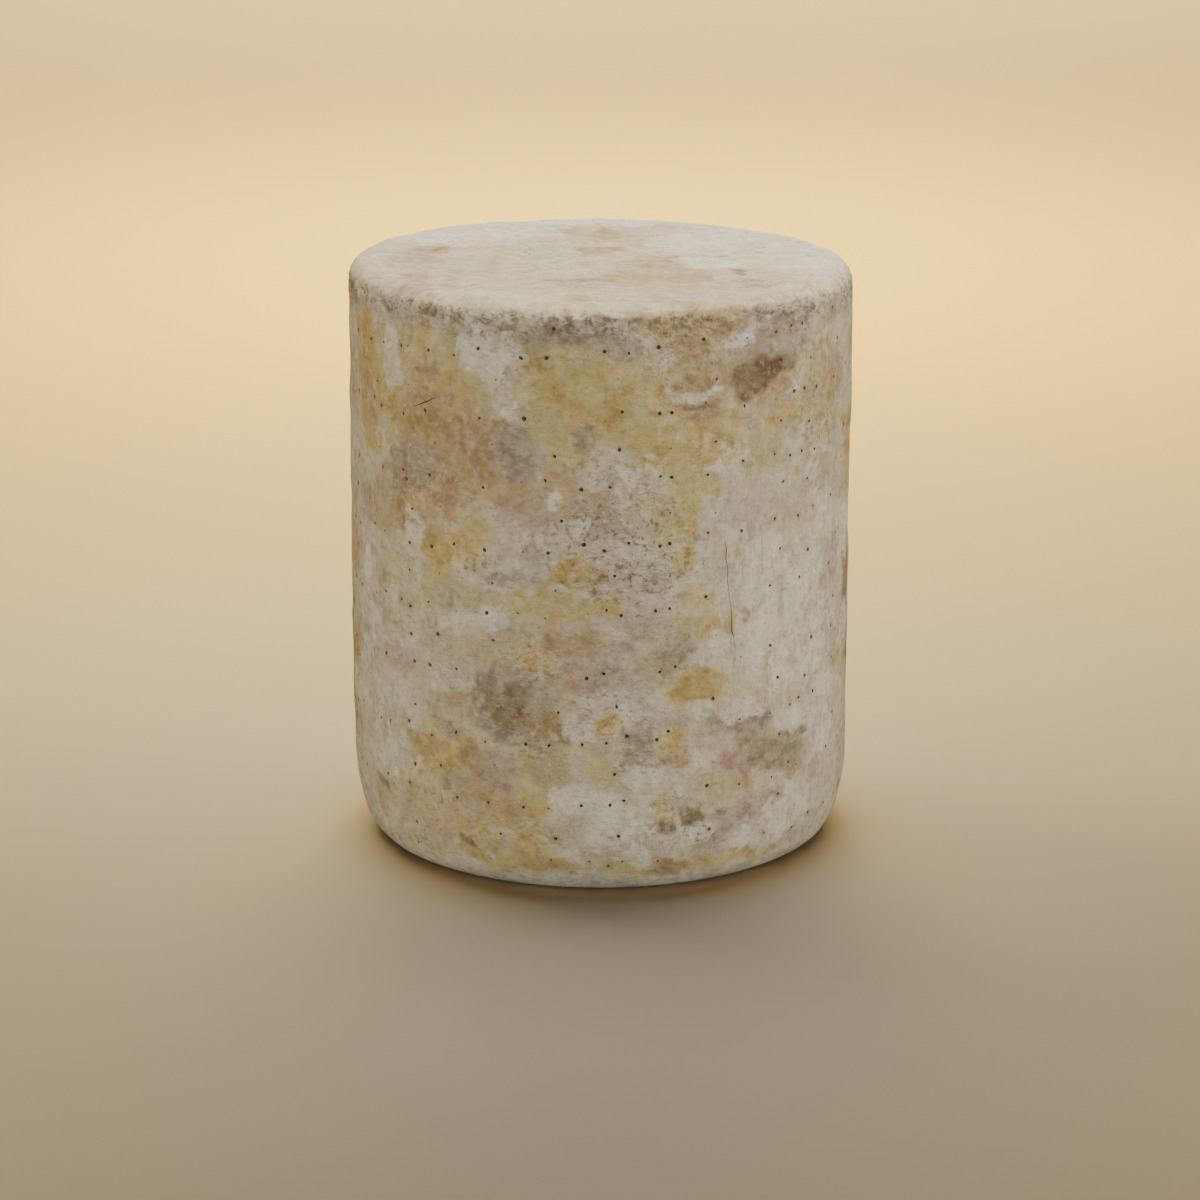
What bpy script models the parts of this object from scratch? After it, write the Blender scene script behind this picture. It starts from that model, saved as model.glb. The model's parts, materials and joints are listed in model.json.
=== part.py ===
"""A whole stilton: a tall drum of blue cheese in its natural rind.

Metres, Z up. The drum stands on z = 0 with its middle on the Z axis, and its front faces -Y.
The cheese is one solid. Its rind is uneven, crumbles under the top edge, and is pierced all
round by the rows of holes that let air in to the blue mould.
"""
import math
import random

import bmesh
import bpy
from mathutils import Matrix, Vector, noise

MM = 0.001

# The drum
RADIUS = 100 * MM
HEIGHT = 232.5 * MM
TOP_EDGE_IN = 7 * MM
TOP_EDGE_DOWN = 8 * MM
FOOT_IN = 17.5 * MM
FOOT_UP = 56 * MM
FOOT_POWER = 2.9
TOP_LEAN = 1 * MM

# How finely the drum is turned
TURN_STEPS = 72
TOP_RINGS = 5
EDGE_RINGS = 4
BAND_RINGS = 4
SIDE_RINGS = 13
FOOT_RINGS = 7

# The rind's unevenness
SWELL = 0.9 * MM
SWELL_SIZE = 65 * MM
LUMPS = 0.55 * MM
LUMP_SIZE = 15 * MM
CRUMBLE_DEPTH = 1.8 * MM
CRUMBLE_SIZE = 6 * MM
BAND_START = 3 * MM
BAND_FULL = 7 * MM
BAND_END = 20 * MM
BASE_FADE = 5 * MM
NOISE_PLACE = Vector((3.7, 1.9, 8.3))

# The piercing: a comb of needles is pushed in again and again as the drum is turned
PIERCING_SEED = 659
COMBS = 56
NEEDLES = 9
FIRST_NEEDLE = 14 * MM
NEEDLE_PITCH = 25.2 * MM
ROW_TILT = 5.5 * MM
COMB_WANDER = math.radians(3.2)
NEEDLE_WANDER = math.radians(0.9)
HEIGHT_WANDER = 2 * MM
OPEN_SHARE = 0.66
SECOND_PASS_EVERY = 2
SECOND_PASS_RISE = (8 * MM, 14 * MM)
SECOND_PASS_TURN = math.radians(2.6)
SECOND_PASS_SHARE = 0.42
CLOSEST_HOLES = 3.8 * MM
TOPMOST_HOLE = HEIGHT - 5 * MM
HOLE_MOUTHS = (0.85 * MM, 1.35 * MM)
HOLE_DEPTH = 13 * MM
HOLE_REACH = 4 * MM
HOLE_SIDES = 5

RIND_COLOR = (0.50, 0.45, 0.35, 1.0)
RIND_ROUGHNESS = 0.85
SMOOTH_ANGLE = math.radians(40)


def clear_scene():
    """Remove what the scene holds."""
    for old in list(bpy.data.objects):
        bpy.data.objects.remove(old, do_unlink=True)


def new_collection(name):
    """Make a collection in the scene."""
    collection = bpy.data.collections.new(name)
    bpy.context.scene.collection.children.link(collection)
    return collection


def new_object(name, mesh, collection):
    """Put a mesh in a collection as an object."""
    thing = bpy.data.objects.new(name, mesh)
    collection.objects.link(thing)
    return thing


def rind_material():
    """Dry, chalky rind."""
    material = bpy.data.materials.new("rind")
    material.use_nodes = True
    shader = material.node_tree.nodes["Principled BSDF"]
    shader.inputs["Base Color"].default_value = RIND_COLOR
    shader.inputs["Roughness"].default_value = RIND_ROUGHNESS
    shader.inputs["Metallic"].default_value = 0.0
    return material


def smooth_step(low, high, value):
    """Rise from 0 at low to 1 at high, gently at both ends."""
    share = min(max((value - low) / (high - low), 0.0), 1.0)
    return share * share * (3 - 2 * share)


def drum_profile():
    """Half the drum's section: from the top's centre, out, down the side, and in to the base's centre."""
    flat_top = RADIUS - TOP_EDGE_IN
    flat_base = RADIUS - FOOT_IN
    edge_bottom = HEIGHT - TOP_EDGE_DOWN
    band_bottom = HEIGHT - BAND_END
    points = [(flat_top * ring / TOP_RINGS, HEIGHT) for ring in range(TOP_RINGS + 1)]
    for ring in range(1, EDGE_RINGS + 1):
        turn = math.pi / 2 * ring / EDGE_RINGS
        across = flat_top + TOP_EDGE_IN * math.sin(turn)
        points.append((across, edge_bottom + TOP_EDGE_DOWN * math.cos(turn)))
    for ring in range(1, BAND_RINGS + 1):
        points.append((RADIUS, edge_bottom + (band_bottom - edge_bottom) * ring / BAND_RINGS))
    for ring in range(1, SIDE_RINGS + 1):
        points.append((RADIUS, band_bottom + (FOOT_UP - band_bottom) * ring / SIDE_RINGS))
    for ring in range(1, FOOT_RINGS + 1):
        turn = math.pi / 2 * ring / FOOT_RINGS
        inward = FOOT_IN * math.cos(turn) ** (2 / FOOT_POWER)
        down = FOOT_UP * math.sin(turn) ** (2 / FOOT_POWER)
        points.append((flat_base + inward, FOOT_UP - down))
    points.append((0.0, 0.0))
    return points


def turned_drum(collection):
    """Turn the section round the Z axis."""
    points = drum_profile()
    mesh = bpy.data.meshes.new("cheese")
    edges = [(index, index + 1) for index in range(len(points) - 1)]
    mesh.from_pydata([(across, 0.0, up) for across, up in points], edges, [])
    drum = new_object("cheese", mesh, collection)
    turn = drum.modifiers.new("turn", "SCREW")
    turn.axis = "Z"
    turn.steps = TURN_STEPS
    turn.render_steps = TURN_STEPS
    turn.use_merge_vertices = True
    turn.merge_threshold = 0.0001
    return drum


def keep_result(thing):
    """Give an object the mesh that its modifiers make, and clear them."""
    graph = bpy.context.evaluated_depsgraph_get()
    made = bpy.data.meshes.new_from_object(thing.evaluated_get(graph))
    old = thing.data
    thing.modifiers.clear()
    thing.data = made
    bpy.data.meshes.remove(old)


def crumbly_band(point):
    """Where the rind crumbles: a band round the drum, just under its top edge."""
    below_top = HEIGHT - point.z
    starts = smooth_step(BAND_START, BAND_FULL, below_top)
    ends = 1 - smooth_step(BAND_FULL, BAND_END, below_top)
    return starts * ends


def relief(point):
    """How far the rind stands out or lies in at a point of the smooth drum."""
    swell = SWELL * noise.noise(point / SWELL_SIZE + NOISE_PLACE)
    lumps = LUMPS * noise.noise(point / LUMP_SIZE + NOISE_PLACE)
    pits = max(noise.noise(point / CRUMBLE_SIZE + NOISE_PLACE), 0.0)
    crumble = CRUMBLE_DEPTH * crumbly_band(point) * pits
    return (swell + lumps - crumble) * smooth_step(0, BASE_FADE, point.z)


def roughen(drum):
    """Move the skin in and out along its normals, and let the top lean a little."""
    shape = bmesh.new()
    shape.from_mesh(drum.data)
    shape.normal_update()
    moves = [vertex.normal * relief(vertex.co) for vertex in shape.verts]
    for vertex, move in zip(shape.verts, moves):
        vertex.co += move
        lean = TOP_LEAN * vertex.co.x / RADIUS
        vertex.co.z -= lean * smooth_step(HEIGHT / 2, HEIGHT, vertex.co.z)
    shape.to_mesh(drum.data)
    shape.free()


def comb_holes(draw, azimuth, rise, share):
    """The holes that one push of the comb leaves open, as (azimuth, height, mouth)."""
    for needle in range(NEEDLES):
        stays_open = draw.random() < share
        turn = azimuth + draw.uniform(-NEEDLE_WANDER, NEEDLE_WANDER)
        wander = draw.uniform(-HEIGHT_WANDER, HEIGHT_WANDER)
        height = FIRST_NEEDLE + NEEDLE_PITCH * needle + rise + wander + ROW_TILT * math.sin(turn)
        mouth = draw.uniform(*HOLE_MOUTHS)
        if stays_open and height < TOPMOST_HOLE:
            yield turn, height, mouth


def gap_between(turn, height, place):
    """The way along the drum's side from an azimuth and a height to a hole."""
    around = math.remainder(turn - place[0], math.tau) * RADIUS
    return math.hypot(around, height - place[1])


def hole_places():
    """Every hole, as (azimuth, height, mouth), with none too close to another."""
    draw = random.Random(PIERCING_SEED)
    places = []
    for comb in range(COMBS):
        azimuth = math.tau * comb / COMBS + draw.uniform(-COMB_WANDER, COMB_WANDER)
        pushes = [(azimuth, 0.0, OPEN_SHARE)]
        if comb % SECOND_PASS_EVERY == 0:
            rise = draw.uniform(*SECOND_PASS_RISE)
            pushes.append((azimuth + SECOND_PASS_TURN, rise, SECOND_PASS_SHARE))
        for push in pushes:
            for turn, height, mouth in comb_holes(draw, *push):
                apart = [gap_between(turn, height, place) for place in places]
                if min(apart, default=math.inf) > CLOSEST_HOLES:
                    places.append((turn, height, mouth))
    return places


def needles(collection):
    """One cutter that holds a pointed needle for each hole."""
    length = HOLE_DEPTH + HOLE_REACH
    middle = RADIUS + HOLE_REACH - length / 2
    shape = bmesh.new()
    for azimuth, height, mouth in hole_places():
        outward = Vector((math.sin(azimuth), -math.cos(azimuth), 0.0))
        place = Matrix.Translation(outward * middle + Vector((0.0, 0.0, height)))
        point_inward = (-outward).to_track_quat("Z", "Y").to_matrix().to_4x4()
        bmesh.ops.create_cone(
            shape,
            cap_ends=True,
            segments=HOLE_SIDES,
            radius1=mouth * length / HOLE_DEPTH,
            radius2=0.0,
            depth=length,
            matrix=place @ point_inward,
        )
    mesh = bpy.data.meshes.new("needles")
    shape.to_mesh(mesh)
    shape.free()
    cutter = new_object("needles", mesh, collection)
    cutter.hide_render = True
    cutter.display_type = "WIRE"
    return cutter


def pierce(drum, cutter):
    """Cut the needles' holes into the drum."""
    cut = drum.modifiers.new("piercing", "BOOLEAN")
    cut.operation = "DIFFERENCE"
    cut.solver = "EXACT"
    cut.object = cutter


def build():
    """Build the cheese."""
    clear_scene()
    cheese_parts = new_collection("stilton_cheese")
    cutters = new_collection("cutters")
    drum = turned_drum(cheese_parts)
    keep_result(drum)
    roughen(drum)
    drum.data.materials.append(rind_material())
    drum.data.shade_smooth()
    drum.data.set_sharp_from_angle(angle=SMOOTH_ANGLE)
    pierce(drum, needles(cutters))


build()
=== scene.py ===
# %% [markdown]
# # A whole stilton in its natural rind
#
# The object is one tall drum of blue cheese. All that shows of it is rind: a dry, chalky skin,
# mottled by moulds and yeasts, crumbly under the top edge, and pierced all round by the needles
# that let air in. So this lesson is about one skin: its shape first, its stains next, and the
# shader that turns both into a surface that looks dusty and alive.
#
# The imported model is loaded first, and everything below is built round it, in metres.

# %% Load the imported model
import json
import math
import random

import bmesh
import bpy
import numpy as np
from mathutils import Matrix, Vector, noise

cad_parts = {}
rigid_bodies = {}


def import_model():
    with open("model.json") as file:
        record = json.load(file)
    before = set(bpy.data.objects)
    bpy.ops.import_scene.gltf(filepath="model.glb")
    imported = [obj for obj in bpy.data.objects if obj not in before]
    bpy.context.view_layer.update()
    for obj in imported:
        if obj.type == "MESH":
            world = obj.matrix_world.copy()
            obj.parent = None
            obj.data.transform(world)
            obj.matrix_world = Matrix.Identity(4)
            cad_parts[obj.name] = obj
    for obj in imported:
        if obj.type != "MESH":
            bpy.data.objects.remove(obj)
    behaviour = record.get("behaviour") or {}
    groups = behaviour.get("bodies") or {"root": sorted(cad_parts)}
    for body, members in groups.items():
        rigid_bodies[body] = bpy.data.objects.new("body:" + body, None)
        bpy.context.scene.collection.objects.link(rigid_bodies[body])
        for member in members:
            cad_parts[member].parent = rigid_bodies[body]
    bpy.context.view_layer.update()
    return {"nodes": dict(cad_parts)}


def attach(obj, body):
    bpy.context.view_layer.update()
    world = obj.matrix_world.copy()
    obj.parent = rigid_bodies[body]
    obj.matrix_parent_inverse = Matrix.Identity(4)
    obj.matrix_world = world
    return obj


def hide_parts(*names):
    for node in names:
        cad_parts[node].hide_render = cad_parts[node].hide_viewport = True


for old in list(bpy.data.objects):
    bpy.data.objects.remove(old, do_unlink=True)
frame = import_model()
print("packed nodes:", sorted(frame["nodes"]))

# %% [markdown]
# ## The drum's sizes
#
# The rind must keep the form of the solid that it stands for, so it starts from the same named
# sizes: a drum 200 mm across, a rounded top edge, and a foot that has slumped into a taller,
# softer curve. The curve of the foot is a superellipse, which can be squarer than a circle.

# %% Name the drum's sizes
MM = 0.001
RADIUS = 100 * MM
HEIGHT = 232.5 * MM
TOP_EDGE_IN = 7 * MM
TOP_EDGE_DOWN = 8 * MM
FOOT_IN = 17.5 * MM
FOOT_UP = 56 * MM
FOOT_POWER = 2.9
TOP_LEAN = 1 * MM
FLAT_TOP = RADIUS - TOP_EDGE_IN
FLAT_BASE = RADIUS - FOOT_IN
print(f"drum {2 * RADIUS / MM:.0f} mm across, {HEIGHT / MM:.1f} mm tall")

# %% [markdown]
# ## Half of the drum's section
#
# A drum could be a cylinder with bevelled edges, but its rings would then be spaced the same all
# over. Here each stretch of the section gets its own spacing: close where the rind crumbles,
# wider on the plain top and base. Each stretch is first drawn finely and then walked along at
# even steps, so the rings stay even on the curves too.

# %% Draw the section, ring by ring
TOP_STEP = 2.6 * MM
BAND_STEP = 1.0 * MM
SIDE_STEP = 1.8 * MM
BASE_STEP = 7 * MM
BAND_END = 20 * MM
FINE_POINTS = 400


def quarter_turns():
    """Even angles from 0 to a quarter turn."""
    return np.linspace(0, math.pi / 2, FINE_POINTS)


def top_edge_curve():
    """The rounded edge, from the flat top to the side."""
    turns = quarter_turns()
    across = FLAT_TOP + TOP_EDGE_IN * np.sin(turns)
    return np.column_stack([across, HEIGHT - TOP_EDGE_DOWN + TOP_EDGE_DOWN * np.cos(turns)])


def foot_curve():
    """The slumped foot, from the side to the flat base."""
    turns = quarter_turns()
    across = FLAT_BASE + FOOT_IN * np.cos(turns) ** (2 / FOOT_POWER)
    return np.column_stack([across, FOOT_UP - FOOT_UP * np.sin(turns) ** (2 / FOOT_POWER)])


def even_steps(curve, step):
    """Points along a curve, about one step apart, without the first."""
    gaps = np.hypot(*np.diff(curve, axis=0).T)
    walked = np.concatenate([[0.0], np.cumsum(gaps)])
    count = max(1, round(walked[-1] / step))
    stops = walked[-1] * np.arange(1, count + 1) / count
    return np.column_stack([np.interp(stops, walked, curve[:, axis]) for axis in (0, 1)])


def drum_section():
    """The whole half section, from the top's centre to the base's centre."""
    stretches = [
        (np.array([[0, HEIGHT], [FLAT_TOP, HEIGHT]]), TOP_STEP),
        (top_edge_curve(), BAND_STEP),
        (np.array([[RADIUS, HEIGHT - TOP_EDGE_DOWN], [RADIUS, HEIGHT - BAND_END]]), BAND_STEP),
        (np.array([[RADIUS, HEIGHT - BAND_END], [RADIUS, FOOT_UP]]), SIDE_STEP),
        (foot_curve(), SIDE_STEP),
        (np.array([[FLAT_BASE, 0], [0, 0]]), BASE_STEP),
    ]
    rings = [np.array([[0, HEIGHT]])]
    rings += [even_steps(curve, step) for curve, step in stretches]
    return np.concatenate(rings)


section = drum_section()
print("rings:", len(section))

# %% [markdown]
# ## Turn the section round the upright axis
#
# The Screw modifier is Blender's lathe. With the section drawn on the +X side from top to
# bottom, the faces come out facing outwards. 400 steps put a point every 1.6 mm round the side,
# fine enough for crumbs and small dents.

# %% Turn the drum
TURN_STEPS = 400
WELD_GAP = 0.025 * MM


def result_mesh(thing):
    """The mesh that an object's modifiers make."""
    graph = bpy.context.evaluated_depsgraph_get()
    return bpy.data.meshes.new_from_object(thing.evaluated_get(graph))


def turned_rind():
    """The smooth drum as an object of its own."""
    outline = bpy.data.meshes.new("rind")
    edges = [(index, index + 1) for index in range(len(section) - 1)]
    outline.from_pydata([(across, 0.0, up) for across, up in section], edges, [])
    drum = bpy.data.objects.new("rind", outline)
    bpy.context.scene.collection.objects.link(drum)
    turn = drum.modifiers.new("turn", "SCREW")
    turn.axis = "Z"
    turn.steps = TURN_STEPS
    turn.render_steps = TURN_STEPS
    turn.use_merge_vertices = True
    turn.merge_threshold = WELD_GAP
    drum.data = result_mesh(drum)
    drum.modifiers.clear()
    bpy.data.meshes.remove(outline)
    return drum


rind = turned_rind()
print("points in the smooth drum:", len(rind.data.vertices))

# %% [markdown]
# ## The rind's unevenness
#
# A drum like this is turned and rubbed by hand for weeks, so nothing on it is true. Three sizes
# of unevenness come first, the same as in the solid: the broad swells, the lumps, and the crumbly
# band under the top edge. Displacement in the shader could do this too, but then the exported
# mesh would stay smooth, so each vertex is moved along its own normal instead.

# %% Add the solid's own unevenness
SWELL = 0.9 * MM
SWELL_SIZE = 65 * MM
LUMPS = 0.55 * MM
LUMP_SIZE = 15 * MM
CRUMBLE_DEPTH = 1.8 * MM
CRUMBLE_SIZE = 6 * MM
BAND_START = 3 * MM
BAND_FULL = 7 * MM
BASE_FADE = 5 * MM
NOISE_PLACE = Vector((3.7, 1.9, 8.3))


def smooth_step(low, high, value):
    """Rise from 0 at low to 1 at high, gently at both ends."""
    share = min(max((value - low) / (high - low), 0.0), 1.0)
    return share * share * (3 - 2 * share)


def crumbly_band(point):
    """Where the rind crumbles: a band round the drum, just under its top edge."""
    below_top = HEIGHT - point.z
    starts = smooth_step(BAND_START, BAND_FULL, below_top)
    return starts * (1 - smooth_step(BAND_FULL, BAND_END, below_top))


def solid_relief(point):
    """How far the solid's skin stands out or lies in at a point of the smooth drum."""
    swell = SWELL * noise.noise(point / SWELL_SIZE + NOISE_PLACE)
    lumps = LUMPS * noise.noise(point / LUMP_SIZE + NOISE_PLACE)
    pits = max(noise.noise(point / CRUMBLE_SIZE + NOISE_PLACE), 0.0)
    crumble = CRUMBLE_DEPTH * crumbly_band(point) * pits
    return (swell + lumps - crumble) * smooth_step(0, BASE_FADE, point.z)


deepest = SWELL + LUMPS + CRUMBLE_DEPTH
print(f"the solid's relief is at most {deepest / MM:.2f} mm")

# %% [markdown]
# ### The skin's finer unevenness
#
# The rind itself is rougher than the solid can be: grit, level scuffs, shallow dents, and
# crevices between the crumbs of the band. Crevices could be modelled one by one, but the ridge
# where two cells of a Voronoi pattern meet already has their branching form. Nearly all of it
# goes inwards, so the rind stays inside the solid that it stands for.

# %% Add the skin's finer unevenness
SKIN_INSET = 0.2 * MM
GRIT = 0.16 * MM
GRIT_SIZE = 4.2 * MM
SCUFF = 0.22 * MM
SCUFF_SIZE = Vector((9, 9, 3.4)) * MM
CREVICE = 0.55 * MM
CREVICE_SIZE = 3.6 * MM
CREVICE_WIDTH = 0.3
DENT = 0.5 * MM
DENT_SIZE = 13 * MM
DENT_START = 0.32


def stretched(point, size):
    """A point measured in its own size along each axis."""
    return Vector((point.x / size.x, point.y / size.y, point.z / size.z))


def skin_relief(point):
    """The rind's own fine unevenness, most of it inwards."""
    grit = GRIT * noise.noise(point / GRIT_SIZE + NOISE_PLACE)
    scuff = SCUFF * min(noise.noise(stretched(point, SCUFF_SIZE) + NOISE_PLACE), 0.0)
    dent = DENT * max(noise.noise(point / DENT_SIZE - NOISE_PLACE) - DENT_START, 0.0)
    depth = grit + scuff - dent - SKIN_INSET
    band = crumbly_band(point)
    if band > 0:
        near, next_near = noise.voronoi(point / CREVICE_SIZE)[0][:2]
        depth -= CREVICE * band * (1 - smooth_step(0, CREVICE_WIDTH, next_near - near))
    return depth * smooth_step(0, BASE_FADE, point.z)


def roughen(drum):
    """Move the drum's skin in and out along its normals, then let the top lean."""
    shape = bmesh.new()
    shape.from_mesh(drum.data)
    shape.normal_update()
    depths = [solid_relief(vertex.co) + skin_relief(vertex.co) for vertex in shape.verts]
    for vertex, depth in zip(shape.verts, depths):
        vertex.co += vertex.normal * depth
        lean = TOP_LEAN * vertex.co.x / RADIUS
        vertex.co.z -= lean * smooth_step(HEIGHT / 2, HEIGHT, vertex.co.z)
    shape.to_mesh(drum.data)
    shape.free()


roughen(rind)
heights = [vertex.co.z for vertex in rind.data.vertices]
print(f"uneven drum: {min(heights) / MM:.2f} to {max(heights) / MM:.2f} mm high")

# %% [markdown]
# ## The needle holes
#
# The blue mould needs air, so a comb of steel needles is pushed into the drum again and again
# while it turns. That leaves rows of small holes, not quite level and not quite even, and some
# of them have healed over to a shallow pit. The rule below repeats that work with a seeded
# random draw, the same one that pierced the solid, so the holes lie where the solid has them.

# %% Work out where the holes are
PIERCING_SEED = 659
COMBS = 56
NEEDLES = 9
FIRST_NEEDLE = 14 * MM
NEEDLE_PITCH = 25.2 * MM
ROW_TILT = 5.5 * MM
COMB_WANDER = math.radians(3.2)
NEEDLE_WANDER = math.radians(0.9)
HEIGHT_WANDER = 2 * MM
OPEN_SHARE = 0.66
SECOND_PASS_EVERY = 2
SECOND_PASS_RISE = (8 * MM, 14 * MM)
SECOND_PASS_TURN = math.radians(2.6)
SECOND_PASS_SHARE = 0.42
CLOSEST_HOLES = 3.8 * MM
TOPMOST_HOLE = HEIGHT - 5 * MM
HOLE_MOUTHS = (0.85 * MM, 1.35 * MM)
HEALED_SHARE = 0.5


def comb_holes(draw, azimuth, rise, share):
    """The holes of one push of the comb, as (stays open, (azimuth, height, mouth))."""
    for needle in range(NEEDLES):
        stays_open = draw.random() < share
        turn = azimuth + draw.uniform(-NEEDLE_WANDER, NEEDLE_WANDER)
        wander = draw.uniform(-HEIGHT_WANDER, HEIGHT_WANDER)
        height = FIRST_NEEDLE + NEEDLE_PITCH * needle + rise + wander + ROW_TILT * math.sin(turn)
        mouth = draw.uniform(*HOLE_MOUTHS)
        if height < TOPMOST_HOLE:
            yield stays_open, (turn, height, mouth)


def gap_between(turn, height, place):
    """The way along the drum's side from an azimuth and a height to a hole."""
    around = math.remainder(turn - place[0], math.tau) * RADIUS
    return math.hypot(around, height - place[1])


def is_clear(hole, places):
    """Whether a hole keeps its distance from the others."""
    return min((gap_between(*hole[:2], place) for place in places), default=math.inf) > CLOSEST_HOLES


def hole_places():
    """The open holes and the healed ones, with none too close to another."""
    draw = random.Random(PIERCING_SEED)
    opened, closed = [], []
    for comb in range(COMBS):
        azimuth = math.tau * comb / COMBS + draw.uniform(-COMB_WANDER, COMB_WANDER)
        pushes = [(azimuth, 0.0, OPEN_SHARE)]
        if comb % SECOND_PASS_EVERY == 0:
            rise = draw.uniform(*SECOND_PASS_RISE)
            pushes.append((azimuth + SECOND_PASS_TURN, rise, SECOND_PASS_SHARE))
        for push in pushes:
            for stays_open, hole in comb_holes(draw, *push):
                if not stays_open:
                    closed.append(hole)
                elif is_clear(hole, opened):
                    opened.append(hole)
    healed = []
    for turn, height, mouth in closed:
        hole = (turn, height, HEALED_SHARE * mouth)
        if is_clear(hole, opened + healed):
            healed.append(hole)
    return opened, healed


holes, healed_holes = hole_places()
print("needle holes:", len(holes), "and healed:", len(healed_holes))

# %% [markdown]
# ## Hairline cracks
#
# As the rind dries it shrinks, and in a few places it splits: long upright hairlines on the
# right, one slanting split in the ochre patch on the left, and a torn flake near the top. A
# dark line in the shader would have no lip to catch the light, so each crack is a thin wedge
# that is cut out. It is drawn as a few points and then made to wander by noise.

# %% Draw the cracks
# (points as azimuth in degrees and height in mm, half width, depth)
CRACKS = [
    ([(28.3, 142), (28.9, 132), (29.6, 120), (30.2, 108), (31.0, 97)], 0.22 * MM, 1.3 * MM),
    ([(31.3, 94), (31.9, 89), (33.0, 84)], 0.12 * MM, 0.9 * MM),
    ([(27.0, 156), (27.6, 146)], 0.12 * MM, 0.9 * MM),
    ([(35.5, 61), (36.1, 54), (35.8, 47)], 0.15 * MM, 1.1 * MM),
    ([(36.4, 44), (36.7, 33), (36.4, 20)], 0.13 * MM, 1.0 * MM),
    ([(-46.0, 188), (-43.0, 190), (-40.5, 191.5), (-39.0, 193.5), (-37.5, 194)], 0.2 * MM, 0.8 * MM),
    ([(19.5, 195.6), (22.0, 194.7), (26.0, 194.9)], 0.24 * MM, 1.0 * MM),
    ([(25.4, 202.5), (25.8, 197)], 0.16 * MM, 0.9 * MM),
    ([(152.0, 128), (153.1, 110), (152.2, 93)], 0.15 * MM, 1.1 * MM),
    ([(-118.0, 74), (-119.2, 58), (-118.4, 47)], 0.15 * MM, 1.1 * MM),
    ([(-166.0, 187), (-159.0, 191)], 0.18 * MM, 0.9 * MM),
]
CRACK_STEP = 1.2 * MM
CRACK_WANDER = 0.7 * MM
WANDER_SIZE = 4.5 * MM
CRACK_TAPER = 6 * MM
CRACK_TIP = 0.25
HOLE_REACH = 3 * MM


def walk_crack(stops):
    """Close points along a crack, as (way round, height, share of its width)."""
    line = np.array([(RADIUS * math.radians(azimuth), height * MM) for azimuth, height in stops])
    walked = np.concatenate([[0.0], np.cumsum(np.hypot(*np.diff(line, axis=0).T))])
    for along in np.linspace(0, walked[-1], round(walked[-1] / CRACK_STEP) + 1):
        around, height = (np.interp(along, walked, line[:, axis]) for axis in (0, 1))
        place = Vector((around, height, 0.0)) / WANDER_SIZE
        around += CRACK_WANDER * noise.noise(place + NOISE_PLACE)
        height += CRACK_WANDER * noise.noise(place - NOISE_PLACE)
        end_share = min(along, walked[-1] - along) / CRACK_TAPER
        yield around, height, CRACK_TIP + (1 - CRACK_TIP) * min(end_share, 1.0)


def outward(azimuth):
    """The level direction that an azimuth faces. Azimuth 0 is the front, -Y."""
    return Vector((math.sin(azimuth), -math.cos(azimuth), 0.0))


def on_drum(around, height, radius):
    """A point at a way round the drum, a height and a radius."""
    return radius * outward(around / RADIUS) + Vector((0.0, 0.0, height))


def add_crack(shape, stops, half_width, depth):
    """A thin wedge along a crack, with its edge inside the drum."""
    walk = list(walk_crack(stops))
    mouth_growth = (depth + HOLE_REACH) / depth
    rings = []
    for index, (around, height, share) in enumerate(walk):
        before, after = walk[max(index - 1, 0)], walk[min(index + 1, len(walk) - 1)]
        along = Vector((after[0] - before[0], after[1] - before[1])).normalized()
        side = along.orthogonal() * half_width * share * mouth_growth
        corners = [
            on_drum(around + side.x, height + side.y, RADIUS + HOLE_REACH),
            on_drum(around - side.x, height - side.y, RADIUS + HOLE_REACH),
            on_drum(around, height, RADIUS - depth * share),
        ]
        rings.append([shape.verts.new(corner) for corner in corners])
    for one, two in zip(rings, rings[1:]):
        for left, right in ((0, 1), (1, 2), (2, 0)):
            shape.faces.new((one[left], one[right], two[right], two[left]))
    shape.faces.new(rings[0][::-1])
    shape.faces.new(rings[-1])


print("cracks:", len(CRACKS))

# %% [markdown]
# ## Cut the holes and the cracks
#
# A dark dot painted on the skin would do from afar, but a real hole keeps its dark inside from
# any side. Each needle is a slim cone, and one Boolean cuts them all. The MANIFOLD solver is
# made for dense closed meshes like these. The cutters carry the second material, so the walls
# that they leave behind have it too. The faces round a cut come out with many sides, and such
# faces can export as folded slivers, so they are split into triangles right away.

# %% Make the cutter and cut
HOLE_DEPTH = 9 * MM
HEALED_DEPTH = 1.6 * MM
HOLE_SIDES = 10
MOUTH_SHARE = 0.7
MOUTH_SQUASH = (0.62, 1.12)
TEAR_SEED = 17
SHARP_ANGLE = math.radians(50)


def add_needle(shape, hole, depth, tears):
    """One pointed needle, squashed a little, through the skin at a hole's place."""
    azimuth, height, mouth = hole
    length = depth + HOLE_REACH
    middle = RADIUS + HOLE_REACH - length / 2
    out = outward(azimuth)
    place = Matrix.Translation(out * middle + Vector((0.0, 0.0, height)))
    point_inward = (-out).to_track_quat("Z", "Y").to_matrix().to_4x4()
    spin = Matrix.Rotation(tears.uniform(0, math.pi), 4, "Z")
    squash = Matrix.Diagonal((tears.uniform(*MOUTH_SQUASH), 1.0, 1.0, 1.0))
    bmesh.ops.create_cone(
        shape,
        cap_ends=True,
        segments=HOLE_SIDES,
        radius1=MOUTH_SHARE * mouth * length / depth,
        radius2=0.0,
        depth=length,
        matrix=place @ point_inward @ spin @ squash,
    )


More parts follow.
